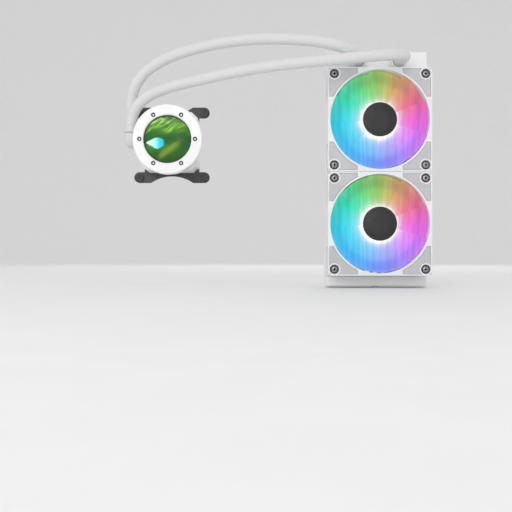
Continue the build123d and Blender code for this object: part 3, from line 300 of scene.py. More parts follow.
class Effects:
    """The shader groups that several finishes share, each built once."""

    def __init__(self) -> None:
        """Builds every group."""
        self.edges = self._edges()
        self.grain = self._grain()
        self.dust_and_shade = self._dust_and_shade()
        self.brushing = self._brushing()
        self.spectrum = self._spectrum()

    @staticmethod
    def _edges() -> bpy.types.NodeTree:
        """A mask along worn edges, and the normal that rounds them.

        Returns:
            The group that makes them.
        """
        graph, given, result = open_tree(
            "worn_edges", "ShaderNodeTree",
            [("Radius", "Float", 0.0004), ("Amount", "Float", 0.5), ("Breakup", "Float", 400.0)],
            [("Mask", "Float"), ("Normal", "Vector")])
        rounded = graph.node("ShaderNodeBevel", {"Radius": given["Radius"]}, samples=RAY_SAMPLES).outputs[0]
        flat = graph.node("ShaderNodeNewGeometry").outputs["Normal"]
        agreement = graph.node("ShaderNodeVectorMath", {0: rounded, 1: flat},
                               operation="DOT_PRODUCT").outputs[1]
        edge = graph.span(graph.maths("SUBTRACT", 1.0, agreement), 0.01, 0.12)
        patches = graph.span(graph.noise(graph.here(), given["Breakup"]), 0.38, 0.62)
        mask = graph.maths("MULTIPLY", graph.product(edge, patches), given["Amount"], clamp=True)
        graph.feed(result["Mask"], mask)
        graph.feed(result["Normal"], rounded)
        return graph.tree

    @staticmethod
    def _grain() -> bpy.types.NodeTree:
        """Fine surface relief, broad tone clouds and handling smudges.

        Returns:
            The group that makes them.
        """
        graph, given, result = open_tree(
            "surface_grain", "ShaderNodeTree",
            [("Scale", "Float", 2500.0), ("Cloud Scale", "Float", 30.0)],
            [("Height", "Float"), ("Cloud", "Float"), ("Smudge", "Float")])
        here = graph.here()
        fine = graph.noise(here, given["Scale"], 2.0, 0.6)
        pits = graph.node("ShaderNodeTexVoronoi", {"Vector": here, "Scale": given["Scale"]}).outputs[0]
        graph.feed(result["Height"], graph.total(fine, graph.product(pits, 0.35)))
        graph.feed(result["Cloud"], graph.span(graph.noise(here, given["Cloud Scale"], 4.0), 0.3, 0.7))
        long_way = graph.place(here, scale=(1.0, 1.0, 0.35))
        smudges = graph.noise(long_way, graph.product(given["Cloud Scale"], 2.3), 5.0, 0.62)
        graph.feed(result["Smudge"], graph.span(smudges, 0.45, 0.75))
        return graph.tree

    @staticmethod
    def _dust_and_shade() -> bpy.types.NodeTree:
        """A mask for dust on upward faces and painted shade in corners and creases, found by ambient
        occlusion.

        Returns:
            The group that makes them.
        """
        graph, given, result = open_tree(
            "dust_and_corner_shade", "ShaderNodeTree", [("Amount", "Float", 0.3), ("Reach", "Float", 0.004)],
            [("Mask", "Float")])
        normal = graph.node("ShaderNodeNewGeometry").outputs["Normal"]
        upward = graph.span(graph.parts(normal)["Z"], 0.2, 1.0)
        open_air = graph.node("ShaderNodeAmbientOcclusion", {"Distance": given["Reach"]},
                              samples=RAY_SAMPLES).outputs["AO"]
        # Painted shade: where ambient occlusion finds a corner or crease the colour greys, which darkens the
        # pale parts.
        corner = graph.span(graph.maths("SUBTRACT", 1.0, open_air), 0.25, 0.9)
        settled_and_shaded = graph.maths("MAXIMUM", graph.product(upward, 0.6), corner)
        patches = graph.span(graph.noise(graph.here(), 260.0, 4.0, 0.6), 0.3, 0.7, 0.35, 1.0)
        mask = graph.maths("MULTIPLY", graph.product(settled_and_shaded, patches), given["Amount"], clamp=True)
        graph.feed(result["Mask"], mask)
        return graph.tree

    @staticmethod
    def _brushing() -> bpy.types.NodeTree:
        """Fine streaks along one direction: relief and tone.

        Returns:
            The group that makes them.
        """
        graph, given, result = open_tree(
            "brushed_streaks", "ShaderNodeTree",
            [("Stretch", "Vector", (4000.0, 4000.0, 60.0))], [("Height", "Float"), ("Tone", "Float")])
        along = graph.vector("MULTIPLY", graph.here(), given["Stretch"])
        streaks = graph.noise(along, 1.0, 4.0, 0.6)
        graph.feed(result["Height"], streaks)
        graph.feed(result["Tone"], graph.span(streaks, 0.3, 0.7))
        return graph.tree

    @staticmethod
    def _spectrum() -> bpy.types.NodeTree:
        """The colours of a ring of lamps seen through the blades, by angle and distance from the hub.

        Returns:
            The group that makes them.
        """
        graph, given, result = open_tree(
            "lamp_spectrum", "ShaderNodeTree",
            [("Vector", "Vector", (0.0, 0.0, 0.0)), ("Hub", "Float", 0.02), ("Tip", "Float", 0.057)],
            [("Colour", "Color"), ("Glow", "Float"), ("Streak", "Float")])
        parts = graph.parts(given["Vector"])
        turn = graph.maths("ARCTAN2", parts["Z"], parts["X"])
        share = graph.maths("FRACT", graph.total(graph.maths("DIVIDE", turn, math.tau), 1.0))
        inner = graph.ramp(share, self_closing(HUB_SIDE_LIGHT))
        outer = graph.ramp(share, self_closing(RIM_SIDE_LIGHT))
        glare_side = graph.maths("COSINE", graph.maths("SUBTRACT", turn, GLARE_SIDE))
        spread = graph.total(graph.product(glare_side, -GLARE_SHIFT), graph.from_axis(given["Vector"]))
        reach = graph.node("ShaderNodeMapRange", {
            "Value": spread, "From Min": given["Hub"], "From Max": given["Tip"]}).outputs["Result"]
        white = graph.ramp(reach, [(place, grey(level)) for place, level in HUB_GLARE])
        colour = graph.mix(graph.span(reach, 0.48, 0.76), inner, outer)
        shaded = graph.mix(graph.span(reach, 0.86, 0.96, 0.0, 0.3), colour, inner)
        columns = graph.noise(graph.vector("MULTIPLY", given["Vector"], (230.0, 0.0, 9.0)), 1.0, 3.0, 0.55)
        graph.feed(result["Colour"], graph.mix(white, shaded, (1.0, 1.0, 1.0, 1.0)))
        graph.feed(result["Glow"], white)
        graph.feed(result["Streak"], graph.span(columns, 0.3, 0.72))
        return graph.tree


EFFECTS = Effects()

# ------------------------------------------------------------------------------------------ finishes


@dataclass(frozen=True)
class Finish(ABC):
    """What every finish has: a name, its main colour and how rough it is."""

    name: str
    colour: Colour
    roughness: float = 0.4

    def material(self) -> bpy.types.Material:
        """Makes the finish's material the first time it is asked for.

        Returns:
            The material.
        """
        label = self.name + "_look"
        if label in bpy.data.materials:
            return bpy.data.materials[label]
        material = bpy.data.materials.new(label)
        material.use_nodes = True
        material.diffuse_color = opaque(self.colour)
        graph = Graph(material.node_tree)
        shader = material.node_tree.nodes["Principled BSDF"]
        self.dress(graph, shader.inputs)
        return material

    @abstractmethod
    def dress(self, graph: Graph, shader: Any) -> None:
        """Fills the shader's sockets.

        Args:
            graph: the material's tree.
            shader: the inputs of its Principled BSDF.
        """

    @staticmethod
    def use(graph: Graph, tree: bpy.types.NodeTree, inputs: Dict[str, Any]) -> Any:
        """Places a shared effect in a material.

        Args:
            graph: the material's tree.
            tree: the effect's node group.
            inputs: what each of its inputs holds, by name.

        Returns:
            The effect's outputs.
        """
        node = graph.node("ShaderNodeGroup", node_tree=tree)
        for name, value in inputs.items():
            graph.feed(node.inputs[name], value)
        return node.outputs

    @staticmethod
    def roughen(graph: Graph, shader: Any, mask: Any, low: float, high: float) -> None:
        """Lets the roughness run from low to high with the mask."""
        graph.feed(shader["Roughness"], graph.span(mask, 0.0, 1.0, low, high))

    @staticmethod
    def relief(graph: Graph, height: Any, strength: float, depth: float, normal: Any) -> Any:
        """A bumped normal on top of the given one."""
        inputs = {"Height": height, "Strength": strength, "Distance": depth, "Normal": normal}
        return graph.node("ShaderNodeBump", inputs).outputs[0]


@dataclass(frozen=True)
class Moulded(Finish):
    """Moulded or painted surface: fine relief, soft tone clouds, rubbed edges, a little dust and painted
    shade in corners.

    Grain is a noise scale per metre, depth and edge_radius are lengths in metres, and the other
    numbers are shares from 0 to 1.
    """

    grain: float = 2200.0
    depth: float = 0.00003
    edge_radius: float = 0.0004
    edge_wear: float = 0.25
    edge_colour: Colour = (0.95, 0.95, 0.95)
    metal_below: bool = False
    # How much dust lies on upward faces and how much painted shade darkens corners.
    dust_and_shade: float = 0.12
    variation: float = 0.05
    coat: float = 0.0
    coat_roughness: float = 0.12
    sheen: float = 0.0

    def dress(self, graph: Graph, shader: Any) -> None:
        """Fills the sockets; see Finish.dress."""
        grain = self.use(graph, EFFECTS.grain, {"Scale": self.grain, "Cloud Scale": 35.0})
        edge = self.use(graph, EFFECTS.edges, {"Radius": self.edge_radius, "Amount": self.edge_wear})
        dust_and_shade = self.use(graph, EFFECTS.dust_and_shade, {"Amount": self.dust_and_shade})
        dark = tuple(c * (1.0 - self.variation) for c in self.colour)
        tone = graph.mix(grain["Cloud"], opaque(dark), opaque(self.colour))
        worn = graph.mix(edge["Mask"], tone, opaque(self.edge_colour))
        # Dust on upward faces and painted shade in corners: the colour turns half way to a mid grey there.
        dust_and_shade_colour = tuple(0.5 * (c + DUST_AND_SHADE_LEVEL) for c in self.colour)
        graph.feed(shader["Base Color"], graph.mix(dust_and_shade["Mask"], worn, opaque(dust_and_shade_colour)))
        smudged = graph.span(grain["Smudge"], 0.0, 1.0, self.roughness, min(1.0, self.roughness * 1.3))
        dulled = graph.maths("ADD", smudged, graph.product(dust_and_shade["Mask"], 0.3), clamp=True)
        graph.feed(shader["Roughness"], dulled)
        graph.feed(shader["Normal"], self.relief(graph, grain["Height"], 0.35, self.depth, edge["Normal"]))
        if self.metal_below:
            graph.feed(shader["Metallic"], graph.span(edge["Mask"], 0.2, 0.7))
        shader["Coat Weight"].default_value = self.coat
        shader["Coat Roughness"].default_value = self.coat_roughness
        shader["Sheen Weight"].default_value = self.sheen


class Brush(Enum):
    """The way a metal was worked, as the stretch of its streaks per metre."""

    CAST = (900.0, 900.0, 900.0)
    UPRIGHT = (5200.0, 5200.0, 90.0)
    ACROSS = (90.0, 5200.0, 5200.0)
    TURNED = (5200.0, 140.0, 5200.0)


@dataclass(frozen=True)
class Metal(Finish):
    """Bare or plated metal with its working marks, stains and bright edges.

    Depth is the relief of the marks in metres, and the amounts are shares from 0 to 1.
    """

    brush: Brush = Brush.CAST
    depth: float = 0.00002
    tarnish: Colour = (0.25, 0.22, 0.2)
    tarnish_amount: float = 0.25
    edge_wear: float = 0.6

    def dress(self, graph: Graph, shader: Any) -> None:
        """Fills the sockets; see Finish.dress."""
        marks = self.use(graph, EFFECTS.brushing, {"Stretch": self.brush.value})
        grain = self.use(graph, EFFECTS.grain, {"Scale": 3000.0, "Cloud Scale": 90.0})
        edge = self.use(graph, EFFECTS.edges, {"Radius": 0.0002, "Amount": self.edge_wear})
        low = tuple(c * 0.86 for c in self.colour)
        tone = graph.mix(marks["Tone"], opaque(low), opaque(self.colour))
        stain = graph.product(grain["Smudge"], self.tarnish_amount)
        stained = graph.mix(stain, tone, opaque(self.tarnish))
        bright = tuple(min(1.0, c * 1.15) for c in self.colour)
        graph.feed(shader["Base Color"], graph.mix(edge["Mask"], stained, opaque(bright)))
        shader["Metallic"].default_value = 1.0
        self.roughen(graph, shader, marks["Tone"], self.roughness, self.roughness * 1.35)
        graph.feed(shader["Normal"], self.relief(graph, marks["Height"], 0.3, self.depth, edge["Normal"]))


@dataclass(frozen=True)
class ScrewMetal(Metal):
    """Screw metal with painted shading in its driver recess, a colour laid there for the light and shade in
    it and not a tone of the metal.
    """

    # Colour painted in the recess; the black default is painted shade.
    recess: Colour = (0.01, 0.01, 0.01)

    def dress(self, graph: Graph, shader: Any) -> None:
        """Fills the sockets; see Finish.dress."""
        super().dress(graph, shader)
        plain = shader["Base Color"].links[0].from_socket
        inside = graph.node("ShaderNodeAttribute", attribute_name="recess").outputs["Fac"]
        # The recess gets the painted shading colour in place of the metal's.
        graph.feed(shader["Base Color"], graph.mix(graph.span(inside, 0.2, 0.8), plain, opaque(self.recess)))


@dataclass(frozen=True)
class LitBlade(Finish):
    """Frosted blades lit from the hub in a ring of colours, about one fan's own axis."""

    centre: Point = (0.0, 0.0, 0.0)
    hub: float = 19.5 * MM
    tip: float = 56.5 * MM
    glow: float = 0.97
    dim_streak: float = 0.9
    bright_streak: float = 1.08

    def dress(self, graph: Graph, shader: Any) -> None:
        """Fills the sockets; see Finish.dress."""
        about = graph.place(graph.here(), self.centre)
        light = self.use(graph, EFFECTS.spectrum, {"Vector": about, "Hub": self.hub, "Tip": self.tip})
        grain = self.use(graph, EFFECTS.grain, {"Scale": 2600.0, "Cloud Scale": 60.0})
        edge = self.use(graph, EFFECTS.edges, {"Radius": 0.0003, "Amount": 0.3})
        shade = tuple(0.8 * c for c in self.colour)
        graph.feed(shader["Base Color"], graph.mix(grain["Cloud"], opaque(self.colour), opaque(shade)))
        level = graph.span(light["Streak"], 0.0, 1.0, self.glow * self.dim_streak,
                           self.glow * self.bright_streak)
        streaked = graph.vector("SCALE", light["Colour"])
        graph.feed(streaked.node.inputs["Scale"], level)
        graph.feed(shader["Emission Color"], streaked)
        shader["Emission Strength"].default_value = 1.0
        shader["Specular IOR Level"].default_value = 0.1
        self.roughen(graph, shader, grain["Smudge"], self.roughness, self.roughness + 0.12)
        graph.feed(shader["Normal"], self.relief(graph, grain["Height"], 0.25, 0.00002, edge["Normal"]))


@dataclass(frozen=True)
class Sleeve(Finish):
    """Braided hose sleeve: a fine two-way weave that follows the hose."""

    around: int = 44
    lay: float = 4.2 * MM
    depth: float = 0.22 * MM

    def dress(self, graph: Graph, shader: Any) -> None:
        """Fills the sockets; see Finish.dress."""
        parts = graph.parts(graph.node("ShaderNodeUVMap", uv_map="along").outputs[0])
        turns = graph.product(parts["X"], float(self.around))
        run = graph.maths("DIVIDE", parts["Y"], self.lay)
        left = graph.maths("SINE", graph.product(graph.total(turns, run), math.tau))
        right = graph.maths("SINE", graph.product(graph.maths("SUBTRACT", turns, run), math.tau))
        weave = graph.product(left, right)
        raised = graph.span(weave, -0.9, 0.9)
        grain = self.use(graph, EFFECTS.grain, {"Scale": 1800.0, "Cloud Scale": 24.0})
        dust_and_shade = self.use(graph, EFFECTS.dust_and_shade, {"Amount": 0.18, "Reach": 0.01})
        gap = tuple(0.86 * c for c in self.colour)
        yarn = graph.mix(raised, opaque(gap), opaque(self.colour))
        aged = graph.mix(graph.product(grain["Cloud"], 0.12), yarn, opaque((0.72, 0.71, 0.68)))
        # Dust on upward faces and painted shade where other parts stand close: the sleeve greys there.
        graph.feed(shader["Base Color"], graph.mix(dust_and_shade["Mask"], aged, opaque(grey(0.55))))
        self.roughen(graph, shader, raised, self.roughness + 0.1, self.roughness)
        flat = graph.node("ShaderNodeNewGeometry").outputs["Normal"]
        graph.feed(shader["Normal"], self.relief(graph, raised, 0.45, self.depth, flat))
        shader["Sheen Weight"].default_value = 0.15


@dataclass(frozen=True)
class Screen(Finish):
    """A lit round display that shows a plain picture of grass blades over a pool.

    The picture's places and sizes are shares of the display's radius, from its centre.
    """

    centre: Point = (0.0, 0.0, 0.0)
    radius: float = 27.1 * MM
    glow: float = 1.1

    def dress(self, graph: Graph, shader: Any) -> None:
        """Fills the sockets; see Finish.dress."""
        unit = 1.0 / self.radius
        here = graph.place(graph.here(), self.centre, (unit, unit, unit))
        parts = graph.parts(here)
        across, up = parts["X"], parts["Z"]
        wander = graph.noise(here, 2.4, 5.0, 0.62)
        slant = graph.total(graph.product(across, 0.75), graph.product(up, -1.0))
        meadow = self._meadow(graph, across, up, slant, wander)
        leaves = self._leaves(graph, across, up, slant, meadow)
        scene = self._pool(graph, here, across, up, leaves)
        sparks = graph.node("ShaderNodeTexVoronoi", {"Vector": here, "Scale": 7.0}).outputs[0]
        spark = graph.product(graph.span(sparks, 0.08, 0.22, 0.6, 0.0), graph.span(wander, 0.45, 0.6))
        glint = graph.mix(spark, scene, opaque((0.75, 0.95, 0.50)))
        shown = graph.span(graph.from_axis(here), 0.955, 0.98, 1.0, 0.0)
        graph.feed(shader["Base Color"], graph.mix(shown, opaque(grey(0.02)), opaque(grey(0.01))))
        graph.feed(shader["Emission Color"], graph.mix(shown, opaque(self.colour), glint))
        shader["Emission Strength"].default_value = self.glow
        graph.feed(shader["Roughness"], graph.span(wander, 0.3, 0.7, self.roughness, self.roughness + 0.1))

    @staticmethod
    def _meadow(graph: Graph, across: Any, up: Any, slant: Any, wander: Any) -> Any:
        """Bands of light and dark green, broken into slanting blades, darker at the lower right.

        Args:
            graph: the material's tree.
            across: the place to the right.
            up: the place upwards.
            slant: the place along the blades' slant.
            wander: noise that bends the bands.

        Returns:
            The meadow's colour.
        """
        height = graph.total(up, graph.product(graph.maths("SUBTRACT", wander, 0.5), 0.75))
        bands = graph.ramp(graph.span(height, -1.0, 1.0, smooth=False), [
            (0.0, (0.004, 0.02, 0.002)), (0.2, (0.02, 0.14, 0.01)), (0.34, (0.05, 0.27, 0.012)),
            (0.5, (0.012, 0.10, 0.015)), (0.6, (0.02, 0.17, 0.02)), (0.72, (0.24, 0.55, 0.05)),
            (0.88, (0.42, 0.74, 0.16)), (1.0, (0.06, 0.14, 0.04))])
        way = graph.xyz(graph.product(slant, 8.0), 0.0, graph.product(graph.total(across, up), 1.3))
        blades = graph.span(graph.noise(way, 1.0, 4.0, 0.6), 0.44, 0.6, 0.8, 0.0)
        grass = graph.mix(blades, bands, opaque((0.012, 0.10, 0.008)))
        right = graph.span(graph.total(graph.product(across, 0.8), up), -0.5, 0.9)
        shadow = graph.product(right, graph.span(up, -0.2, 0.28, 1.0, 0.0), 0.85)
        return graph.mix(shadow, grass, opaque((0.006, 0.05, 0.02)))

    @staticmethod
    def _leaves(graph: Graph, across: Any, up: Any, slant: Any, meadow: Any) -> Any:
        """One broad lit leaf at the bottom and the dark vein of another at the top.

        Args:
            graph: the material's tree.
            across: the place to the right.
            up: the place upwards.
            slant: the place along the blades' slant.
            meadow: the colour behind the leaves.

        Returns:
            The colour with the leaves over it.
        """
        line = graph.total(graph.product(across, -0.68), up)
        leaf = graph.span(graph.maths("ABSOLUTE", graph.total(line, 0.47)), 0.02, 0.26, 1.0, 0.0)
        reach = graph.product(graph.span(across, -0.5, -0.2), graph.span(across, 0.25, 0.75, 1.0, 0.0))
        lit = graph.mix(graph.product(leaf, reach, 0.85), meadow, opaque((0.20, 0.29, 0.03)))
        vein = graph.span(graph.maths("ABSOLUTE", graph.total(slant, 0.62)), 0.015, 0.05, 0.7, 0.0)
        return graph.mix(graph.product(vein, graph.span(up, 0.2, 0.5)), lit, opaque((0.02, 0.13, 0.01)))

    @staticmethod
    def _pool(graph: Graph, here: Any, across: Any, up: Any, leaves: Any) -> Any:
        """A ragged oval of bright water at the left, over the leaves.

        Args:
            graph: the material's tree.
            here: the coordinates on the display.
            across: the place to the right.
            up: the place upwards.
            leaves: the colour behind the water.

        Returns:
            The colour with the water over it.
        """
        pool_x = graph.maths("DIVIDE", graph.total(across, 0.45), 0.4)
        pool_y = graph.maths("DIVIDE", graph.total(up, 0.16), 0.22)
        ripple = graph.product(graph.maths("SUBTRACT", graph.noise(here, 3.6, 4.0), 0.5), 2.4)
        oval = graph.total(graph.maths("POWER", pool_x, 2.0), graph.maths("POWER", pool_y, 2.0), ripple)
        water = graph.ramp(graph.span(across, -0.8, -0.1, smooth=False), [
            (0.0, (0.75, 0.98, 0.90)), (0.4, (0.40, 0.92, 0.95)), (0.6, (0.05, 0.68, 0.88)),
            (1.0, (0.01, 0.42, 0.66))])
        return graph.mix(graph.span(oval, 0.7, 1.1, 1.0, 0.0), leaves, water)


@dataclass(frozen=True)
class Glass(Finish):
    """Clear cover glass with the faintest smears."""

    def dress(self, graph: Graph, shader: Any) -> None:
        """Fills the sockets; see Finish.dress."""
        grain = self.use(graph, EFFECTS.grain, {"Scale": 900.0, "Cloud Scale": 70.0})
        tint = tuple(0.985 * c for c in self.colour)
        graph.feed(shader["Base Color"], graph.mix(grain["Cloud"], opaque(tint), opaque(self.colour)))
        self.roughen(graph, shader, grain["Smudge"], self.roughness, self.roughness + 0.02)
        shader["Transmission Weight"].default_value = 1.0
        shader["IOR"].default_value = 1.2


@dataclass(frozen=True)
class Winding(Finish):
    """Enamelled copper wire laid side by side, with painted shade in the grooves between the wires."""

    wire: float = 0.4 * MM

    def dress(self, graph: Graph, shader: Any) -> None:
        """Fills the sockets; see Finish.dress."""
        here = graph.here()
        phase = graph.product(graph.parts(here)["Y"], math.tau / self.wire)
        ridge = graph.maths("ABSOLUTE", graph.maths("SINE", phase))
        edge = self.use(graph, EFFECTS.edges, {"Radius": 0.0003, "Amount": 0.2})
        # Painted shade: the colour falls below half in the grooves between the wires.
        dark = tuple(0.45 * c for c in self.colour)
        unshaded_crests = graph.product(ridge, graph.span(graph.noise(here, 700.0), 0.2, 0.7, 0.6, 1.0))
        graph.feed(shader["Base Color"], graph.mix(unshaded_crests, opaque(dark), opaque(self.colour)))
        graph.feed(shader["Normal"], self.relief(graph, ridge, 0.8, 0.0001, edge["Normal"]))
        self.roughen(graph, shader, unshaded_crests, self.roughness + 0.2, self.roughness)
        shader["Metallic"].default_value = 0.9


@dataclass(frozen=True)
class Board(Finish):
    """Circuit board: solder mask over fine copper runs, with bright pads."""

    def dress(self, graph: Graph, shader: Any) -> None:
        """Fills the sockets; see Finish.dress."""
        here = graph.here()
        cells = graph.node("ShaderNodeTexVoronoi", {"Vector": here, "Scale": 420.0}, distance="MANHATTAN",
                           feature="F1")
        runs = graph.span(graph.maths("FRACT", graph.product(cells.outputs[0], 5.0)), 0.35, 0.5)
        pads = graph.span(cells.outputs[0], 0.10, 0.14, 1.0, 0.0)
        edge = self.use(graph, EFFECTS.edges, {"Radius": 0.0002, "Amount": 0.3})
        bright = tuple(min(1.0, 1.9 * c) for c in self.colour)
        masked = graph.mix(runs, opaque(self.colour), opaque(bright))
        graph.feed(shader["Base Color"], graph.mix(pads, masked, opaque((0.75, 0.72, 0.62))))
        graph.feed(shader["Metallic"], pads)
        self.roughen(graph, shader, pads, self.roughness, 0.28)
        graph.feed(shader["Normal"], self.relief(graph, runs, 0.4, 0.00005, edge["Normal"]))


WHITE_METAL = Moulded("white_painted_metal", grey(0.87), 0.42, grain=1500.0, depth=0.00005, edge_wear=0.12,
                      edge_colour=(0.62, 0.62, 0.63), metal_below=True, coat=0.15)
WHITE_FIN = Moulded("white_painted_fin", grey(0.70), 0.5, grain=3000.0, edge_radius=0.0001, edge_wear=0.2,
                    edge_colour=(0.78, 0.78, 0.78), variation=0.12, dust_and_shade=0.3)
FRAME_PLASTIC = Moulded("white_frame_plastic", (0.82, 0.84, 0.86), 0.36, grain=2400.0, depth=0.00004,
                        dust_and_shade=0.1)
PAD_RUBBER = Moulded("grey_pad_rubber", (0.57, 0.56, 0.575), 0.7, grain=1400.0, depth=0.0001,
                     edge_radius=0.0006, edge_wear=0.15, edge_colour=(0.72, 0.71, 0.72), dust_and_shade=0.3,
                     variation=0.1, sheen=0.2)
GLOSS_PLASTIC = Moulded("white_gloss_plastic", grey(0.82), 0.2, grain=1300.0, depth=0.00002,
                        edge_radius=0.0006, coat=0.5, dust_and_shade=0.06)
HOUSING_PLASTIC = Moulded("white_housing_plastic", grey(0.84), 0.34, grain=2000.0, depth=0.00004,
                          edge_radius=0.0006, dust_and_shade=0.08, coat=0.1)
BLACK_PLASTIC = Moulded("black_plastic", grey(0.028), 0.45, grain=1800.0, depth=0.00006, edge_wear=0.5,
                        edge_colour=grey(0.09), dust_and_shade=0.25)
BADGE = Moulded("black_badge", grey(0.016), 0.5, grain=3000.0, depth=0.00004, edge_wear=0.4,
                edge_colour=grey(0.10), dust_and_shade=0.12)
BRACKET_STEEL = Moulded("black_bracket_steel", grey(0.045), 0.4, grain=1700.0, depth=0.00006, edge_wear=0.5,
                        edge_colour=grey(0.35), metal_below=True, dust_and_shade=0.2)
# The fan screws keep the black recess colour: painted shade in the cross recess.
FAN_SCREW = ScrewMetal("fan_screw", grey(0.42), 0.3, Brush.TURNED, tarnish=grey(0.08), edge_wear=0.9)
# The ring screws' light grey recess is a painted highlight on their black heads.
RING_SCREW = ScrewMetal("ring_screw", grey(0.07), 0.36, Brush.TURNED, tarnish=grey(0.03), recess=grey(0.7))
BLACK_WASHER = Moulded("black_washer", grey(0.05), 0.5, grain=2500.0, edge_wear=0.6, edge_colour=grey(0.2))
ELBOW_PLASTIC = Moulded("white_elbow_plastic", grey(0.64), 0.3, grain=1500.0, depth=0.00003,
                        edge_radius=0.0006, coat=0.2, dust_and_shade=0.08)
SEAL_RUBBER = Moulded("seal_rubber", grey(0.02), 0.75, grain=1500.0, depth=0.0001, edge_wear=0.1,
                      edge_colour=grey(0.06), dust_and_shade=0.3)
ALUMINIUM = Metal("bare_aluminium", (0.80, 0.81, 0.82), 0.38, Brush.UPRIGHT, tarnish=grey(0.5))
NICKEL = Metal("nickel_fitting", (0.72, 0.70, 0.66), 0.22, Brush.TURNED, tarnish=(0.4, 0.36, 0.3))
COPPER = Metal("copper_plate", (0.86, 0.44, 0.28), 0.24, Brush.ACROSS, tarnish=(0.42, 0.16, 0.09),
               tarnish_amount=0.35)
STEEL = Metal("ground_steel", (0.62, 0.61, 0.60), 0.24, Brush.TURNED, tarnish=(0.3, 0.27, 0.24))
BRONZE = Metal("sintered_bronze", (0.60, 0.43, 0.24), 0.5, Brush.CAST, tarnish=(0.22, 0.14, 0.08))
LAMINATION = Metal("lamination_steel", (0.44, 0.44, 0.45), 0.42, Brush.ACROSS, tarnish=(0.16, 0.14, 0.13))
FERRITE = Moulded("ferrite_magnet", grey(0.055), 0.6, grain=1100.0, depth=0.0001, edge_wear=0.4,
                  edge_colour=grey(0.14))
CERAMIC = Moulded("ceramic_shaft", (0.86, 0.85, 0.80), 0.18, grain=3000.0, depth=0.00001, coat=0.4)
BOARD = Board("circuit_board", (0.015, 0.10, 0.05), 0.4)
COILS = Winding("copper_winding", (0.72, 0.27, 0.09), 0.3)
SLEEVE = Sleeve("hose_sleeve", grey(0.76), 0.5)
GLASS = Glass("display_glass", (0.97, 0.98, 0.97), 0.0)


def dress_nodes(finish: Finish, *names: str) -> None:
    """Gives CAD nodes a finish through their material slots.

    Args:
        finish: what they are made of.
        names: the nodes' names.
    """
    for name in names:
        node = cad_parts[name]
        if not node.material_slots:
            node.data.materials.append(finish.material())
        for part in node.material_slots:
            part.material = finish.material()
        log.info("dressed %s in %s", name, finish.name)


# ------------------------------------------------------------------------------------- mesh helpers


def new_piece(name: str, mesh: bpy.types.Mesh, finish: Finish, body: str,
              replaces: Sequence[str] = ()) -> bpy.types.Object:
    """Links a finished mesh as a piece of the object.

    Args:
        name: the piece's name.
        mesh: its mesh, in place.
        finish: what it is made of.
        body: the CAD body that it rides on.
        replaces: the CAD nodes that it stands for.

    Returns:
        The new object.
    """
    piece = bpy.data.objects.new(name, mesh)
    bpy.context.scene.collection.objects.link(piece)
    mesh.materials.clear()
    mesh.materials.append(finish.material())
    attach(piece, body)
    if replaces:
        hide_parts(*replaces)
    log.info("made %s: %d faces", name, len(mesh.polygons))
    return piece


def smooth_by_angle(mesh: bpy.types.Mesh, degrees: float = 35.0) -> None:
    """Shades a mesh smooth apart from its sharp edges."""
    mesh.shade_smooth()
    mesh.set_sharp_from_angle(angle=math.radians(degrees))


def tube_mesh(name: str, path: Sequence[Vector], radius: float, sides: int = 40) -> bpy.types.Mesh:
    """A closed round tube along a path, with its turns and its length as UVs.

    Args:
        name: the mesh's name.
        path: the centreline's points.
        radius: the outer radius.
        sides: how many sides the tube has.

    Returns:
        The mesh.
    """
    bm = bmesh.new()
    ring_uv: List[float] = []
    rings: List[List[bmesh.types.BMVert]] = []
    tangent = (path[1] - path[0]).normalized()
    side = tangent.orthogonal().normalized()
    run = 0.0
    for i, point in enumerate(path):
        ahead = path[min(i + 1, len(path) - 1)] - path[max(i - 1, 0)]
        turned = tangent.rotation_difference(ahead.normalized())
        tangent = ahead.normalized()
        side = (turned @ side).normalized()
        up = tangent.cross(side).normalized()
        run += (point - path[i - 1]).length if i else 0.0
        ring_uv.append(run)
        angles = [math.tau * k / sides for k in range(sides)]
        rings.append([bm.verts.new(point + radius * (side * math.cos(a) + up * math.sin(a))) for a in angles])
    uv = bm.loops.layers.uv.new("along")
    for i in range(len(rings) - 1):
        for k in range(sides):
            after = (k + 1) % sides
            face = bm.faces.new((rings[i][k], rings[i][after], rings[i + 1][after], rings[i + 1][k]))
            places = ((k, i), (k + 1, i), (k + 1, i + 1), (k, i + 1))
            for loop, (turn, ring) in zip(face.loops, places):
                loop[uv].uv = (turn / sides, ring_uv[ring])
    bm.faces.new(list(reversed(rings[0])))
    bm.faces.new(rings[-1])
    bm.normal_update()
    mesh = bpy.data.meshes.new(name)
    bm.to_mesh(mesh)
    bm.free()
    smooth_by_angle(mesh, 50.0)
    return mesh


# ---------------------------------------------------------------------------- repeats by geometry nodes


def run_tree(tree: bpy.types.NodeTree, name: str, template: bpy.types.Mesh,
             values: Dict[str, Any]) -> bpy.types.Mesh:
    """Runs a geometry tree on a template mesh and keeps the plain mesh that comes out.

    Args:
        tree: the geometry node group.
        name: the new mesh's name.
        template: the mesh that goes into the tree.
        values: the group's inputs by name.

    Returns:
        The plain mesh.
    """
    host = bpy.data.objects.new(name + "_host", template)
    modifier = host.modifiers.new("repeat", "NODES")
    modifier.node_group = tree
    for item in tree.interface.items_tree:
        if item.item_type == "SOCKET" and item.in_out == "INPUT" and item.name in values:
            modifier[item.identifier] = values[item.name]
    bpy.context.scene.collection.objects.link(host)
    evaluated = host.evaluated_get(bpy.context.evaluated_depsgraph_get())
    mesh = bpy.data.meshes.new_from_object(evaluated)
    mesh.name = name
    host.modifiers.remove(modifier)
    bpy.data.objects.remove(host)
    return mesh


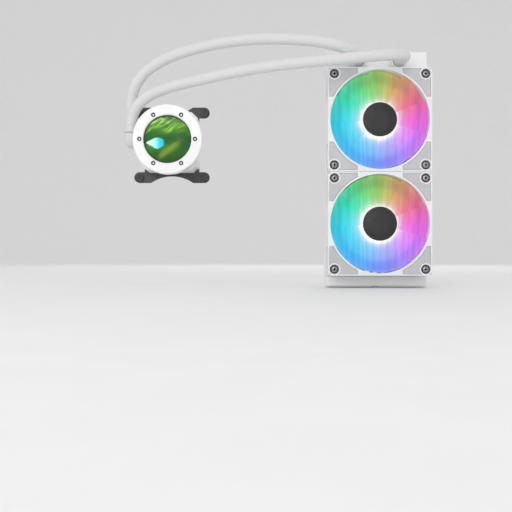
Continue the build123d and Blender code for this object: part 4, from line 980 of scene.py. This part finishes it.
class Repeats:
    """The geometry trees that lay out what repeats."""

    def __init__(self) -> None:
        """Builds every tree."""
        self.grid = self._grid()
        self.ring = self._ring()
        self.fins = self._fins()

    @staticmethod
    def _open(name: str, *sizes: Tuple[str, str, Any]) -> Tuple[Graph, Any, Any]:
        """Opens a tree that takes a template, those sizes and a material."""
        inputs = [("Geometry", "Geometry", None), *sizes, ("Material", "Material", None)]
        return open_tree(name, "GeometryNodeTree", inputs, [("Geometry", "Geometry")])

    @staticmethod
    def _moved(graph: Graph, geometry: Any, shift: Any = (0.0, 0.0, 0.0), turn: Any = (0.0, 0.0, 0.0)) -> Any:
        """The geometry turned about the origin, then shifted."""
        inputs = {"Geometry": geometry, "Translation": shift, "Rotation": turn}
        return graph.node("GeometryNodeTransform", inputs).outputs[0]

    @staticmethod
    def _finish_tree(graph: Graph, geometry: Any, material: Any, result: Any) -> bpy.types.NodeTree:
        """Ends a tree in Realize Instances and Set Material.

        Args:
            graph: the tree.
            geometry: the laid out geometry.
            material: the material that it gets.
            result: the group's output sockets.

        Returns:
            The finished tree.
        """
        real = graph.node("GeometryNodeRealizeInstances", {0: geometry}).outputs[0]
        painted = graph.node("GeometryNodeSetMaterial", {"Geometry": real, "Material": material}).outputs[0]
        graph.feed(result["Geometry"], painted)
        return graph.tree

    @staticmethod
    def _row(graph: Graph, geometry: Any, count: Any, step: Any) -> Any:
        """Instances geometry along a straight row.

        Args:
            graph: the tree.
            geometry: what is repeated.
            count: how many stand in the row.
            step: the way from one to the next.

        Returns:
            The row.
        """
        line = graph.node("GeometryNodeMeshLine", {"Count": count, "Offset": step})
        return graph.node("GeometryNodeInstanceOnPoints",
                          {"Points": line.outputs[0], "Instance": geometry}).outputs[0]

    def _grid(self) -> bpy.types.NodeTree:
        """Copies of the template on a grid of columns, rows and blocks of rows.

        Returns:
            The tree that makes them.
        """
        graph, given, result = self._open(
            "repeat_on_grid", ("Columns", "Int", 2), ("Column Step", "Vector", (0.01, 0, 0)),
            ("Rows", "Int", 2), ("Row Step", "Vector", (0, 0, 0.01)),
            ("Blocks", "Int", 1), ("Block Step", "Vector", (0, 0, 0.02)))
        laid = given["Geometry"]
        for count, step in (("Columns", "Column Step"), ("Rows", "Row Step"), ("Blocks", "Block Step")):
            laid = self._row(graph, laid, given[count], given[step])
        return self._finish_tree(graph, laid, given["Material"], result)

    def _ring(self) -> bpy.types.NodeTree:
        """Copies of the template turned about an upright circle that faces the front.

        Returns:
            The tree that makes them.
        """
        graph, given, result = self._open(
            "repeat_on_ring", ("Count", "Int", 6), ("Start", "Float", 0.0), ("Centre", "Vector", (0, 0, 0)))
        points = graph.node("GeometryNodePoints", {"Count": given["Count"]}).outputs[0]
        number = graph.node("GeometryNodeInputIndex").outputs[0]
        step = graph.maths("DIVIDE", math.tau, given["Count"])
        angle = graph.total(graph.product(number, step), given["Start"])
        turn = graph.xyz(y=graph.product(angle, -1.0))
        placed = graph.node("GeometryNodeInstanceOnPoints", {
            "Points": points, "Instance": given["Geometry"], "Rotation": turn}).outputs[0]
        moved = self._moved(graph, placed, given["Centre"])
        return self._finish_tree(graph, moved, given["Material"], result)

    def _fins(self) -> bpy.types.NodeTree:
        """Folded, louvred fins between the tubes: slats make a fin, two fins a fold, folds a strip.

        Returns:
            The tree that makes them.
        """
        graph, given, result = self._open(
            "louvred_fins", ("Strips", "Int", 13), ("Strip Pitch", "Float", 9.2 * MM),
            ("Folds", "Int", 90), ("Fold Pitch", "Float", 2.5 * MM), ("Width", "Float", 7.2 * MM),
            ("Depth", "Float", 17.8 * MM), ("Slats", "Int", 4), ("Thickness", "Float", 0.12 * MM),
            ("Louvre", "Float", 0.35), ("First", "Vector", (0, 0, 0)))
        slope = graph.maths("ARCTAN2", graph.product(given["Fold Pitch"], 0.5), given["Width"])
        slat_step = graph.maths("DIVIDE", given["Depth"], given["Slats"])
        size = graph.xyz(graph.product(given["Width"], 0.985), graph.product(slat_step, 0.94),
                         given["Thickness"])
        slat = graph.node("GeometryNodeMeshCube", {"Size": size}).outputs[0]
        tilted = self._moved(graph, slat, turn=graph.xyz(given["Louvre"]))
        plate = self._row(graph, tilted, given["Slats"], graph.xyz(y=slat_step))
        halves = graph.node("GeometryNodeJoinGeometry")
        for sign, lift in ((1.0, -0.25), (-1.0, 0.25)):
            rise = graph.xyz(z=graph.product(given["Fold Pitch"], lift))
            lean = graph.xyz(y=graph.product(slope, sign))
            graph.feed(halves.inputs[0], self._moved(graph, plate, rise, lean))
        strip = self._row(graph, halves.outputs[0], given["Folds"], graph.xyz(z=given["Fold Pitch"]))
        core = self._row(graph, strip, given["Strips"], graph.xyz(given["Strip Pitch"]))
        placed = self._moved(graph, core, given["First"])
        return self._finish_tree(graph, placed, given["Material"], result)


REPEATS = Repeats()


def empty_mesh(name: str) -> bpy.types.Mesh:
    """A mesh with nothing in it, for a tree that makes its own shape."""
    return bpy.data.meshes.new(name)


def spun_mesh(name: str, loops: Sequence[Sequence[Vector]], recess: Optional[Sequence[float]] = None,
              joined: bool = False) -> bpy.types.Mesh:
    """A closed mesh through loops of points about the Y axis.

    Args:
        name: the mesh's name.
        loops: rings of points, each with as many points as the next; a ring may be one point at an end.
        recess: how far each point of the flattened loops lies in a recess, kept as an attribute.
        joined: whether the last ring joins the first, as in a washer, and not a face that closes it.

    Returns:
        The mesh, with its faces outwards.
    """
    bm = bmesh.new()
    depth = bm.verts.layers.float.new("recess")
    made = [[bm.verts.new(point) for point in loop] for loop in loops]
    for vert, value in zip([v for loop in made for v in loop], recess or []):
        vert[depth] = value
    for inner, outer in zip(made, made[1:] + ([made[0]] if joined else [])):
        for k in range(len(outer)):
            after = (k + 1) % len(outer)
            if len(inner) == 1:
                bm.faces.new((inner[0], outer[after], outer[k]))
            else:
                bm.faces.new((inner[k], inner[after], outer[after], outer[k]))
    if not joined:
        bm.faces.new(made[-1])
    bmesh.ops.recalc_face_normals(bm, faces=bm.faces)
    mesh = bpy.data.meshes.new(name)
    bm.to_mesh(mesh)
    bm.free()
    smooth_by_angle(mesh, 40.0)
    return mesh


def circle(radius: float, height: float, sides: int) -> List[Vector]:
    """A ring of points about the Y axis, standing that height in front."""
    turns = [math.tau * k / sides for k in range(sides)]
    return [Vector((radius * math.cos(a), -height, radius * math.sin(a))) for a in turns]


@dataclass(frozen=True)
class ScrewShape:
    """A domed screw with a cross recess, seated at the origin with its head towards the front."""

    head_radius: float
    head_height: float
    shank_radius: float
    shank_length: float
    arm_half_width: float
    arm_reach: float
    recess_depth: float
    rings: int = 18
    sides: int = 40

    def _front(self, x: float, z: float) -> Tuple[float, float]:
        """Shapes the front of the head.

        Args:
            x: the place across the head.
            z: the place up the head.

        Returns:
            The head's height there, and how far that place is in the recess, from 0 to 1.
        """
        r = math.hypot(x, z) / self.head_radius
        dome = self.head_height * (0.12 + 0.88 * math.sqrt(max(0.0, 1.0 - 0.8 * r ** 3)))
        soft = 0.35 * self.arm_half_width
        beside = (self.arm_half_width - min(abs(x), abs(z))) / soft
        before = (self.arm_reach - max(abs(x), abs(z))) / soft
        cut = max(0.0, min(1.0, beside + 0.5)) * max(0.0, min(1.0, before + 0.5))
        return dome - self.recess_depth * cut, cut

    def mesh(self, name: str) -> bpy.types.Mesh:
        """Makes the screw.

        Args:
            name: the mesh's name.

        Returns:
            The screw's mesh.
        """
        height, cut = self._front(0.0, 0.0)
        loops, recess = [[Vector((0.0, -height, 0.0))]], [cut]
        for i in range(1, self.rings + 1):
            loop = circle(self.head_radius * i / self.rings, 0.0, self.sides)
            for point in loop:
                height, cut = self._front(point.x, point.z)
                point.y = -height
                recess.append(cut)
            loops.append(loop)
        point_radius, point_length = 0.6 * self.shank_radius, 0.4 * self.shank_radius
        shank = ((self.head_radius, 0.0), (self.shank_radius, 0.0), (self.shank_radius, -self.shank_length),
                 (point_radius, -self.shank_length - point_length))
        loops += [circle(radius, height, self.sides) for radius, height in shank]
        recess += [0.0] * len(shank) * self.sides
        return spun_mesh(name, loops, recess)


def lip_mesh(name: str, inner: float, outer: float, low: float, high: float,
             sides: int = 48) -> bpy.types.Mesh:
    """A rounded ring about the Y axis.

    Args:
        name: the mesh's name.
        inner: the inner radius.
        outer: the outer radius.
        low: how far in front the ring starts.
        high: how far in front it ends.
        sides: how many sides it has.

    Returns:
        The ring's mesh.
    """
    soft = 0.25 * (outer - inner)
    cut = 0.3 * soft
    profile = [(inner, low), (inner, high - soft), (inner + cut, high - cut), (inner + soft, high),
               (outer - soft, high), (outer - cut, high - cut), (outer, high - soft), (outer, low)]
    return spun_mesh(name, [circle(r, h, sides) for r, h in profile], joined=True)


# ------------------------------------------------------------------------------------ the sub-assemblies


@dataclass(frozen=True)
class Lamp:
    """One soft round lamp and the place that it points at."""

    name: str
    place: Point
    size: float
    power: float
    aim: Point = (-0.1, 0.0, 0.0)

    def build(self) -> None:
        """Hangs the lamp in the studio."""
        data = bpy.data.lights.new(self.name, "AREA")
        data.shape = "DISK"
        data.size = self.size
        data.energy = self.power
        lamp = bpy.data.objects.new(self.name, data)
        lamp.location = self.place
        way = Vector(self.aim) - Vector(self.place)
        lamp.rotation_euler = way.to_track_quat("-Z", "Y").to_euler()
        bpy.context.scene.collection.objects.link(lamp)


LAMPS: Sequence[Lamp] = (
    Lamp("key", (-0.6, -1.8, 0.7), 1.2, 10.0),
    Lamp("front", (0.1, -2.3, -0.3), 1.0, 11.5),
    Lamp("left", (-1.9, -0.5, 0.5), 1.0, 3.5),
    Lamp("right", (1.8, -0.7, 0.5), 1.0, 3.0),
    Lamp("rear", (0.3, 1.8, 1.2), 1.2, 5.0),
    Lamp("wall", (0.0, 0.9, 2.3), 2.0, 10.0, aim=(0.0, 4.6, 1.9)),
)


@dataclass
class Studio:
    """The pale room: a round cyclorama, soft lamps and the camera."""

    camera_place: Point = (-0.1426, -0.902, -0.0972)
    lens: float = 52.06
    inner_radius: float = 0.15
    floor_radius: float = 3.0
    sweep: float = 2.4
    sweep_steps: int = 24
    wall_height: float = 3.6
    sides: int = 96
    sky: float = 0.76
    colour: Colour = (0.86, 0.86, 0.86)

    def build(self) -> None:
        """Makes the camera, the backdrop and the lamps."""
        self._camera()
        self._backdrop()
        self._lamps()
        log.info("studio ready")

    def _camera(self) -> None:
        """Looks straight at the fans from the front."""
        data = bpy.data.cameras.new("camera")
        data.lens = self.lens
        data.sensor_width = 36.0
        data.clip_start = 0.01
        data.clip_end = 50.0
        camera = bpy.data.objects.new("camera", data)
        camera.location = self.camera_place
        camera.rotation_euler = (math.radians(90.0), 0.0, 0.0)
        bpy.context.scene.collection.objects.link(camera)
        bpy.context.scene.camera = camera

    def _backdrop(self) -> None:
        """A floor that sweeps up into a round wall, all one surface."""
        ground = CAD_BOX[0][2]
        middle = 0.5 * (Vector(CAD_BOX[0]) + Vector(CAD_BOX[1]))
        profile = [(self.inner_radius, 0.0), (self.floor_radius, 0.0)]
        for i in range(1, self.sweep_steps + 1):
            a = 0.5 * math.pi * i / self.sweep_steps
            profile.append((self.floor_radius + self.sweep * math.sin(a), self.sweep * (1.0 - math.cos(a))))
        profile.append((self.floor_radius + self.sweep, self.wall_height))
        bm = bmesh.new()
        centre = bm.verts.new((middle.x, middle.y, ground))
        turns = [math.tau * k / self.sides for k in range(self.sides)]
        loops = [[bm.verts.new((middle.x + r * math.cos(a), middle.y + r * math.sin(a), ground + z))
                  for a in turns] for r, z in profile]
        for k in range(self.sides):
            after = (k + 1) % self.sides
            bm.faces.new((centre, loops[0][k], loops[0][after]))
            for low, high in zip(loops, loops[1:]):
                bm.faces.new((low[k], high[k], high[after], low[after]))
        mesh = bpy.data.meshes.new("backdrop")
        bm.to_mesh(mesh)
        bm.free()
        mesh.shade_smooth()
        paper = Moulded("studio_paper", self.colour, 1.0, grain=300.0, depth=0.00002, edge_wear=0.0,
                        dust_and_shade=0.0, variation=0.015).material()
        paper.node_tree.nodes["Principled BSDF"].inputs["Specular IOR Level"].default_value = 0.0
        mesh.materials.append(paper)
        backdrop = bpy.data.objects.new("backdrop", mesh)
        bpy.context.scene.collection.objects.link(backdrop)

    def _lamps(self) -> None:
        """Hangs the lamps under a pale sky."""
        world = bpy.data.worlds.new("sky")
        bpy.context.scene.world = world
        world.use_nodes = True
        sky = world.node_tree.nodes["Background"].inputs
        sky["Color"].default_value = opaque(grey(1.0))
        sky["Strength"].default_value = self.sky
        for lamp in LAMPS:
            lamp.build()
        bpy.context.scene.view_settings.view_transform = "Standard"


@dataclass
class Hose:
    """One sleeved hose from a tank port to an elbow of the pump head."""

    name: str
    route: Sequence[Point]
    body: str
    fixed_until: Point
    free_from: Point
    diameter: float = 12.5 * MM
    steps: int = 14

    def centreline(self) -> List[Vector]:
        """Samples the hose's own smooth curve.

        Returns:
            Its points, from the elbow to the tank.
        """
        data = bpy.data.curves.new(self.name + "_line", "CURVE")
        data.dimensions = "3D"
        data.resolution_u = self.steps
        spline = data.splines.new("NURBS")
        spline.points.add(len(self.route) - 1)
        for point, place in zip(spline.points, self.route):
            point.co = (*(MM * c for c in place), 1.0)
        spline.order_u = 3
        spline.use_endpoint_u = True
        line = bpy.data.objects.new(self.name + "_line", data)
        bpy.context.scene.collection.objects.link(line)
        evaluated = line.evaluated_get(bpy.context.evaluated_depsgraph_get())
        sampled = bpy.data.meshes.new_from_object(evaluated)
        path = [v.co.copy() for v in sampled.vertices]
        bpy.data.objects.remove(line)
        return path

    def build(self) -> None:
        path = self.centreline()
        piece = bpy.data.objects.new(self.name + "_sleeve", tube_mesh(self.name, path, self.diameter / 2))
        bpy.context.scene.collection.objects.link(piece)
        piece.data.materials.append(SLEEVE.material())
        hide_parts(self.name)
        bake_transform(piece)


@dataclass
class Radiator:
    """The core, its tanks, side rails and ports."""

    tube_count: int = 12
    strip_width: float = 7.231 * MM
    strip_pitch: float = 9.231 * MM
    fold_pitch: float = 2.55 * MM
    slats: int = 4

    def build(self) -> None:
        """Dresses the CAD pieces and fills the core with fine fins."""
        self._fins()
        dress_nodes(WHITE_METAL, "header_plates", "port_tank", "end_tank")
        dress_nodes(WHITE_METAL, "left_side_rail", "right_side_rail")
        dress_nodes(WHITE_FIN, "flat_tubes")
        dress_nodes(ALUMINIUM, "tank_baffle")
        dress_nodes(NICKEL, "tank_ports", "fill_plug")
        dress_nodes(GLOSS_PLASTIC, "radiator_collars")

    def _fins(self) -> None:
        """Lays the folded fins in the room of the coarse ones."""
        low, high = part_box("fin_strips")
        folds = int((high.z - low.z) / self.fold_pitch)
        depth = high.y - low.y
        slat_step = depth / self.slats
        bottom = 0.5 * (low.z + high.z) - 0.5 * (folds - 1) * self.fold_pitch
        first = Vector((low.x + 0.5 * self.strip_width, low.y + 0.5 * slat_step, bottom))
        mesh = run_tree(REPEATS.fins, "fine_fins", empty_mesh("fin_seed"), {
            "Strips": self.tube_count + 1, "Strip Pitch": self.strip_pitch, "Folds": folds,
            "Fold Pitch": self.fold_pitch, "Width": self.strip_width, "Depth": depth, "Slats": self.slats,
            "First": first, "Material": WHITE_FIN.material()})
        new_piece("fine_fins", mesh, WHITE_FIN, "root", ["fin_strips"])


@dataclass
class Fan:
    """One lit fan: frame, pads, rotor and motor."""

    side: str
    centre_z: float
    badge_radius: float = 19.7 * MM
    badge_step: float = 16.942 * MM
    badge_sides: int = 72
    badge_round: float = 0.5 * MM

    def _badge(self) -> None:
        """Covers the hub with its thin domed badge, a fine step inside its edge."""
        low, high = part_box(self.side + "_fan_hub_badge")
        back, front, r, soft = -high.y, -low.y, self.badge_radius, self.badge_round
        profile = [(0.4 * r, front + 0.45 * soft), (self.badge_step, front + 0.25 * soft),
                   (self.badge_step + 0.01 * r, front), (r - soft, front - 0.1 * soft),
                   (r - 0.3 * soft, front - 0.35 * soft), (r, front - soft), (r, back)]
        loops = [[Vector((0.0, -front - 0.5 * soft, 0.0))]]
        loops += [circle(radius, height, self.badge_sides) for radius, height in profile]
        mesh = spun_mesh(self.side + "_fan_badge", loops)
        mesh.transform(Matrix.Translation((0.0, 0.0, self.centre_z)))
        new_piece(self.side + "_fan_badge", mesh, BADGE, self.side + "_fan",
                  [self.side + "_fan_hub_badge"])

    def build(self) -> None:
        """Dresses every CAD piece of the fan and makes its badge."""
        name = self.side + "_fan_"
        self._badge()
        lit = LitBlade(name + "lit_blade", grey(0.015), 0.55, centre=(0.0, 0.0, self.centre_z))
        for finish, part in ((FRAME_PLASTIC, "frame"), (PAD_RUBBER, "corner_pads"), (lit, "rotor"),
                             (FERRITE, "magnet_ring"), (STEEL, "shaft"), (BRONZE, "bearing_sleeve"),
                             (LAMINATION, "stator_core"), (COILS, "stator_coils"), (BOARD, "circuit_board")):
            dress_nodes(finish, name + part)


@dataclass
class FanScrews:
    """The eight cross-head screws, their washers and the lips of their seats."""

    spacing: float = 105.0 * MM
    fan_pitch: float = 120.0 * MM
    thread_radius: float = 1.45 * MM
    point_length: float = 0.6 * MM
    head_radius: float = 3.5 * MM
    arm_half_width: float = 0.45 * MM
    arm_reach: float = 1.9 * MM
    recess_depth: float = 1.2 * MM
    seat_radius: float = 5.4 * MM
    lip_radius: float = 7.1 * MM
    lip_back: float = 50.6 * MM
    lip_front: float = 52.05 * MM

    def _lay_out(self, name: str, template: bpy.types.Mesh, finish: Finish,
                 depth: float) -> bpy.types.Mesh:
        """Repeats a template at every screw place.

        Args:
            name: the new mesh's name.
            template: the mesh that is repeated, about the origin.
            finish: what it is made of.
            depth: where the copies stand along Y.

        Returns:
            The mesh of all the copies.
        """
        half = 0.5 * self.spacing
        template.transform(Matrix.Translation((-half, depth, -0.5 * self.fan_pitch - half)))
        return run_tree(REPEATS.grid, name, template, {
            "Columns": 2, "Column Step": (self.spacing, 0.0, 0.0),
            "Rows": 2, "Row Step": (0.0, 0.0, self.spacing),
            "Blocks": 2, "Block Step": (0.0, 0.0, self.fan_pitch), "Material": finish.material()})

    def build(self) -> None:
        """Makes the screws and the lips, and dresses the washers."""
        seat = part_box("screw_washers")[0].y
        low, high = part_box("fan_screws")
        shape = ScrewShape(self.head_radius, seat - low.y, self.thread_radius,
                           high.y - seat - self.point_length, self.arm_half_width, self.arm_reach,
                           self.recess_depth)
        screws = self._lay_out("cross_head_screws", shape.mesh("screw"), FAN_SCREW, seat)
        new_piece("cross_head_screws", screws, FAN_SCREW, "root", ["fan_screws"])
        lip = lip_mesh("lip", self.seat_radius, self.lip_radius, self.lip_back, self.lip_front)
        lips = self._lay_out("screw_seat_lips", lip, FRAME_PLASTIC, 0.0)
        new_piece("screw_seat_lips", lips, FRAME_PLASTIC, "root")
        dress_nodes(BLACK_WASHER, "screw_washers")


@dataclass
class PumpHead:
    """The round pump head with its display, elbows and bracket."""

    screw_circle: float = 31.8 * MM
    screw_count: int = 6
    screw_head: float = 2.3 * MM
    screw_head_height: float = 1.6 * MM
    screw_thread: float = 1.25 * MM
    screw_point: float = 0.5 * MM
    arm_half_width: float = 0.55 * MM
    arm_reach: float = 1.15 * MM
    recess_depth: float = 0.7 * MM

    def _ring_screws(self, centre: Point) -> None:
        """Lays the screws round the front ring.

        Args:
            centre: the ring's centre.
        """
        low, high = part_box("ring_screws")
        seat = low.y + self.screw_head_height
        shape = ScrewShape(self.screw_head, self.screw_head_height, self.screw_thread,
                           high.y - seat - self.screw_point, self.arm_half_width, self.arm_reach,
                           self.recess_depth, rings=14, sides=32)
        template = shape.mesh("small_screw")
        template.transform(Matrix.Translation((self.screw_circle, seat, 0.0)))
        mesh = run_tree(REPEATS.ring, "small_ring_screws", template, {
            "Count": self.screw_count, "Start": 0.0, "Centre": centre, "Material": RING_SCREW.material()})
        new_piece("small_ring_screws", mesh, RING_SCREW, "root", ["ring_screws"])

    def build(self) -> None:
        """Dresses the CAD pieces and lights the display."""
        low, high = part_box("front_ring")
        centre = (0.5 * (low.x + high.x), 0.0, 0.5 * (low.z + high.z))
        self._ring_screws(centre)
        screen = Screen("display_face", grey(0.004), 0.3, centre=centre)
        dress_nodes(GLOSS_PLASTIC, "front_ring")
        dress_nodes(ELBOW_PLASTIC, "return_elbow", "supply_elbow", "return_pump_collar", "supply_pump_collar")
        dress_nodes(HOUSING_PLASTIC, "pump_shell", "pump_housing", "pump_can")
        dress_nodes(SEAL_RUBBER, "return_elbow_seal", "supply_elbow_seal", "cold_plate_seal")
        dress_nodes(COPPER, "cold_plate")
        dress_nodes(BLACK_PLASTIC, "jet_plate", "impeller", "thumb_nuts")
        dress_nodes(BRACKET_STEEL, "mounting_bracket")
        dress_nodes(STEEL, "bracket_studs", "cold_plate_screws")
        dress_nodes(CERAMIC, "impeller_shaft")
        dress_nodes(LAMINATION, "pump_stator_core")
        dress_nodes(COILS, "pump_stator_coils")
        dress_nodes(BOARD, "pump_circuit_board")
        dress_nodes(screen, "display_panel")
        dress_nodes(GLASS, "display_lens")


RETURN_ROUTE: List[Point] = [
    (-288, -19, 45.5), (-288, -19, 63), (-290.5, -23, 81.5), (-287.5, -26, 100.5), (-276, -29, 117.5),
    (-256, -32, 131), (-229, -36, 141), (-197, -42, 147.5), (-162, -50, 151), (-125, -57, 151),
    (-90, -62.5, 148), (-61, -66, 143.5), (-38, -67, 136), (-23, -52.5, 129.5), (-23, -28.5, 129.5),
]
SUPPLY_ROUTE: List[Point] = [
    (-288, -38, 45.5), (-288, -38, 62), (-281, -40, 78.5), (-265, -43, 90.5), (-240, -47.5, 98.5),
    (-206, -55, 104.5), (-168, -64, 110.5), (-128, -74, 115), (-88, -82, 117.5), (-48, -86, 120),
    (-2, -86.5, 124.5), (29, -67, 129.5), (24, -45, 129.5), (23, -28.5, 129.5),
]


def main() -> None:
    """Builds the studio and every sub-assembly, in order."""
    logging.basicConfig(level=logging.INFO, format="%(name)s: %(message)s")
    Studio().build()
    Hose("return_hose", RETURN_ROUTE, "return_swivel", fixed_until=(-0.288, -0.020, 0.110),
         free_from=(-0.288, -0.019, 0.058)).build()
    Hose("supply_hose", SUPPLY_ROUTE, "supply_swivel", fixed_until=(-0.262, -0.043, 0.092),
         free_from=(-0.288, -0.038, 0.058)).build()
    Radiator().build()
    Fan("upper", 0.060).build()
    Fan("lower", -0.060).build()
    FanScrews().build()
    PumpHead().build()


if __name__ == "__main__":
    main()
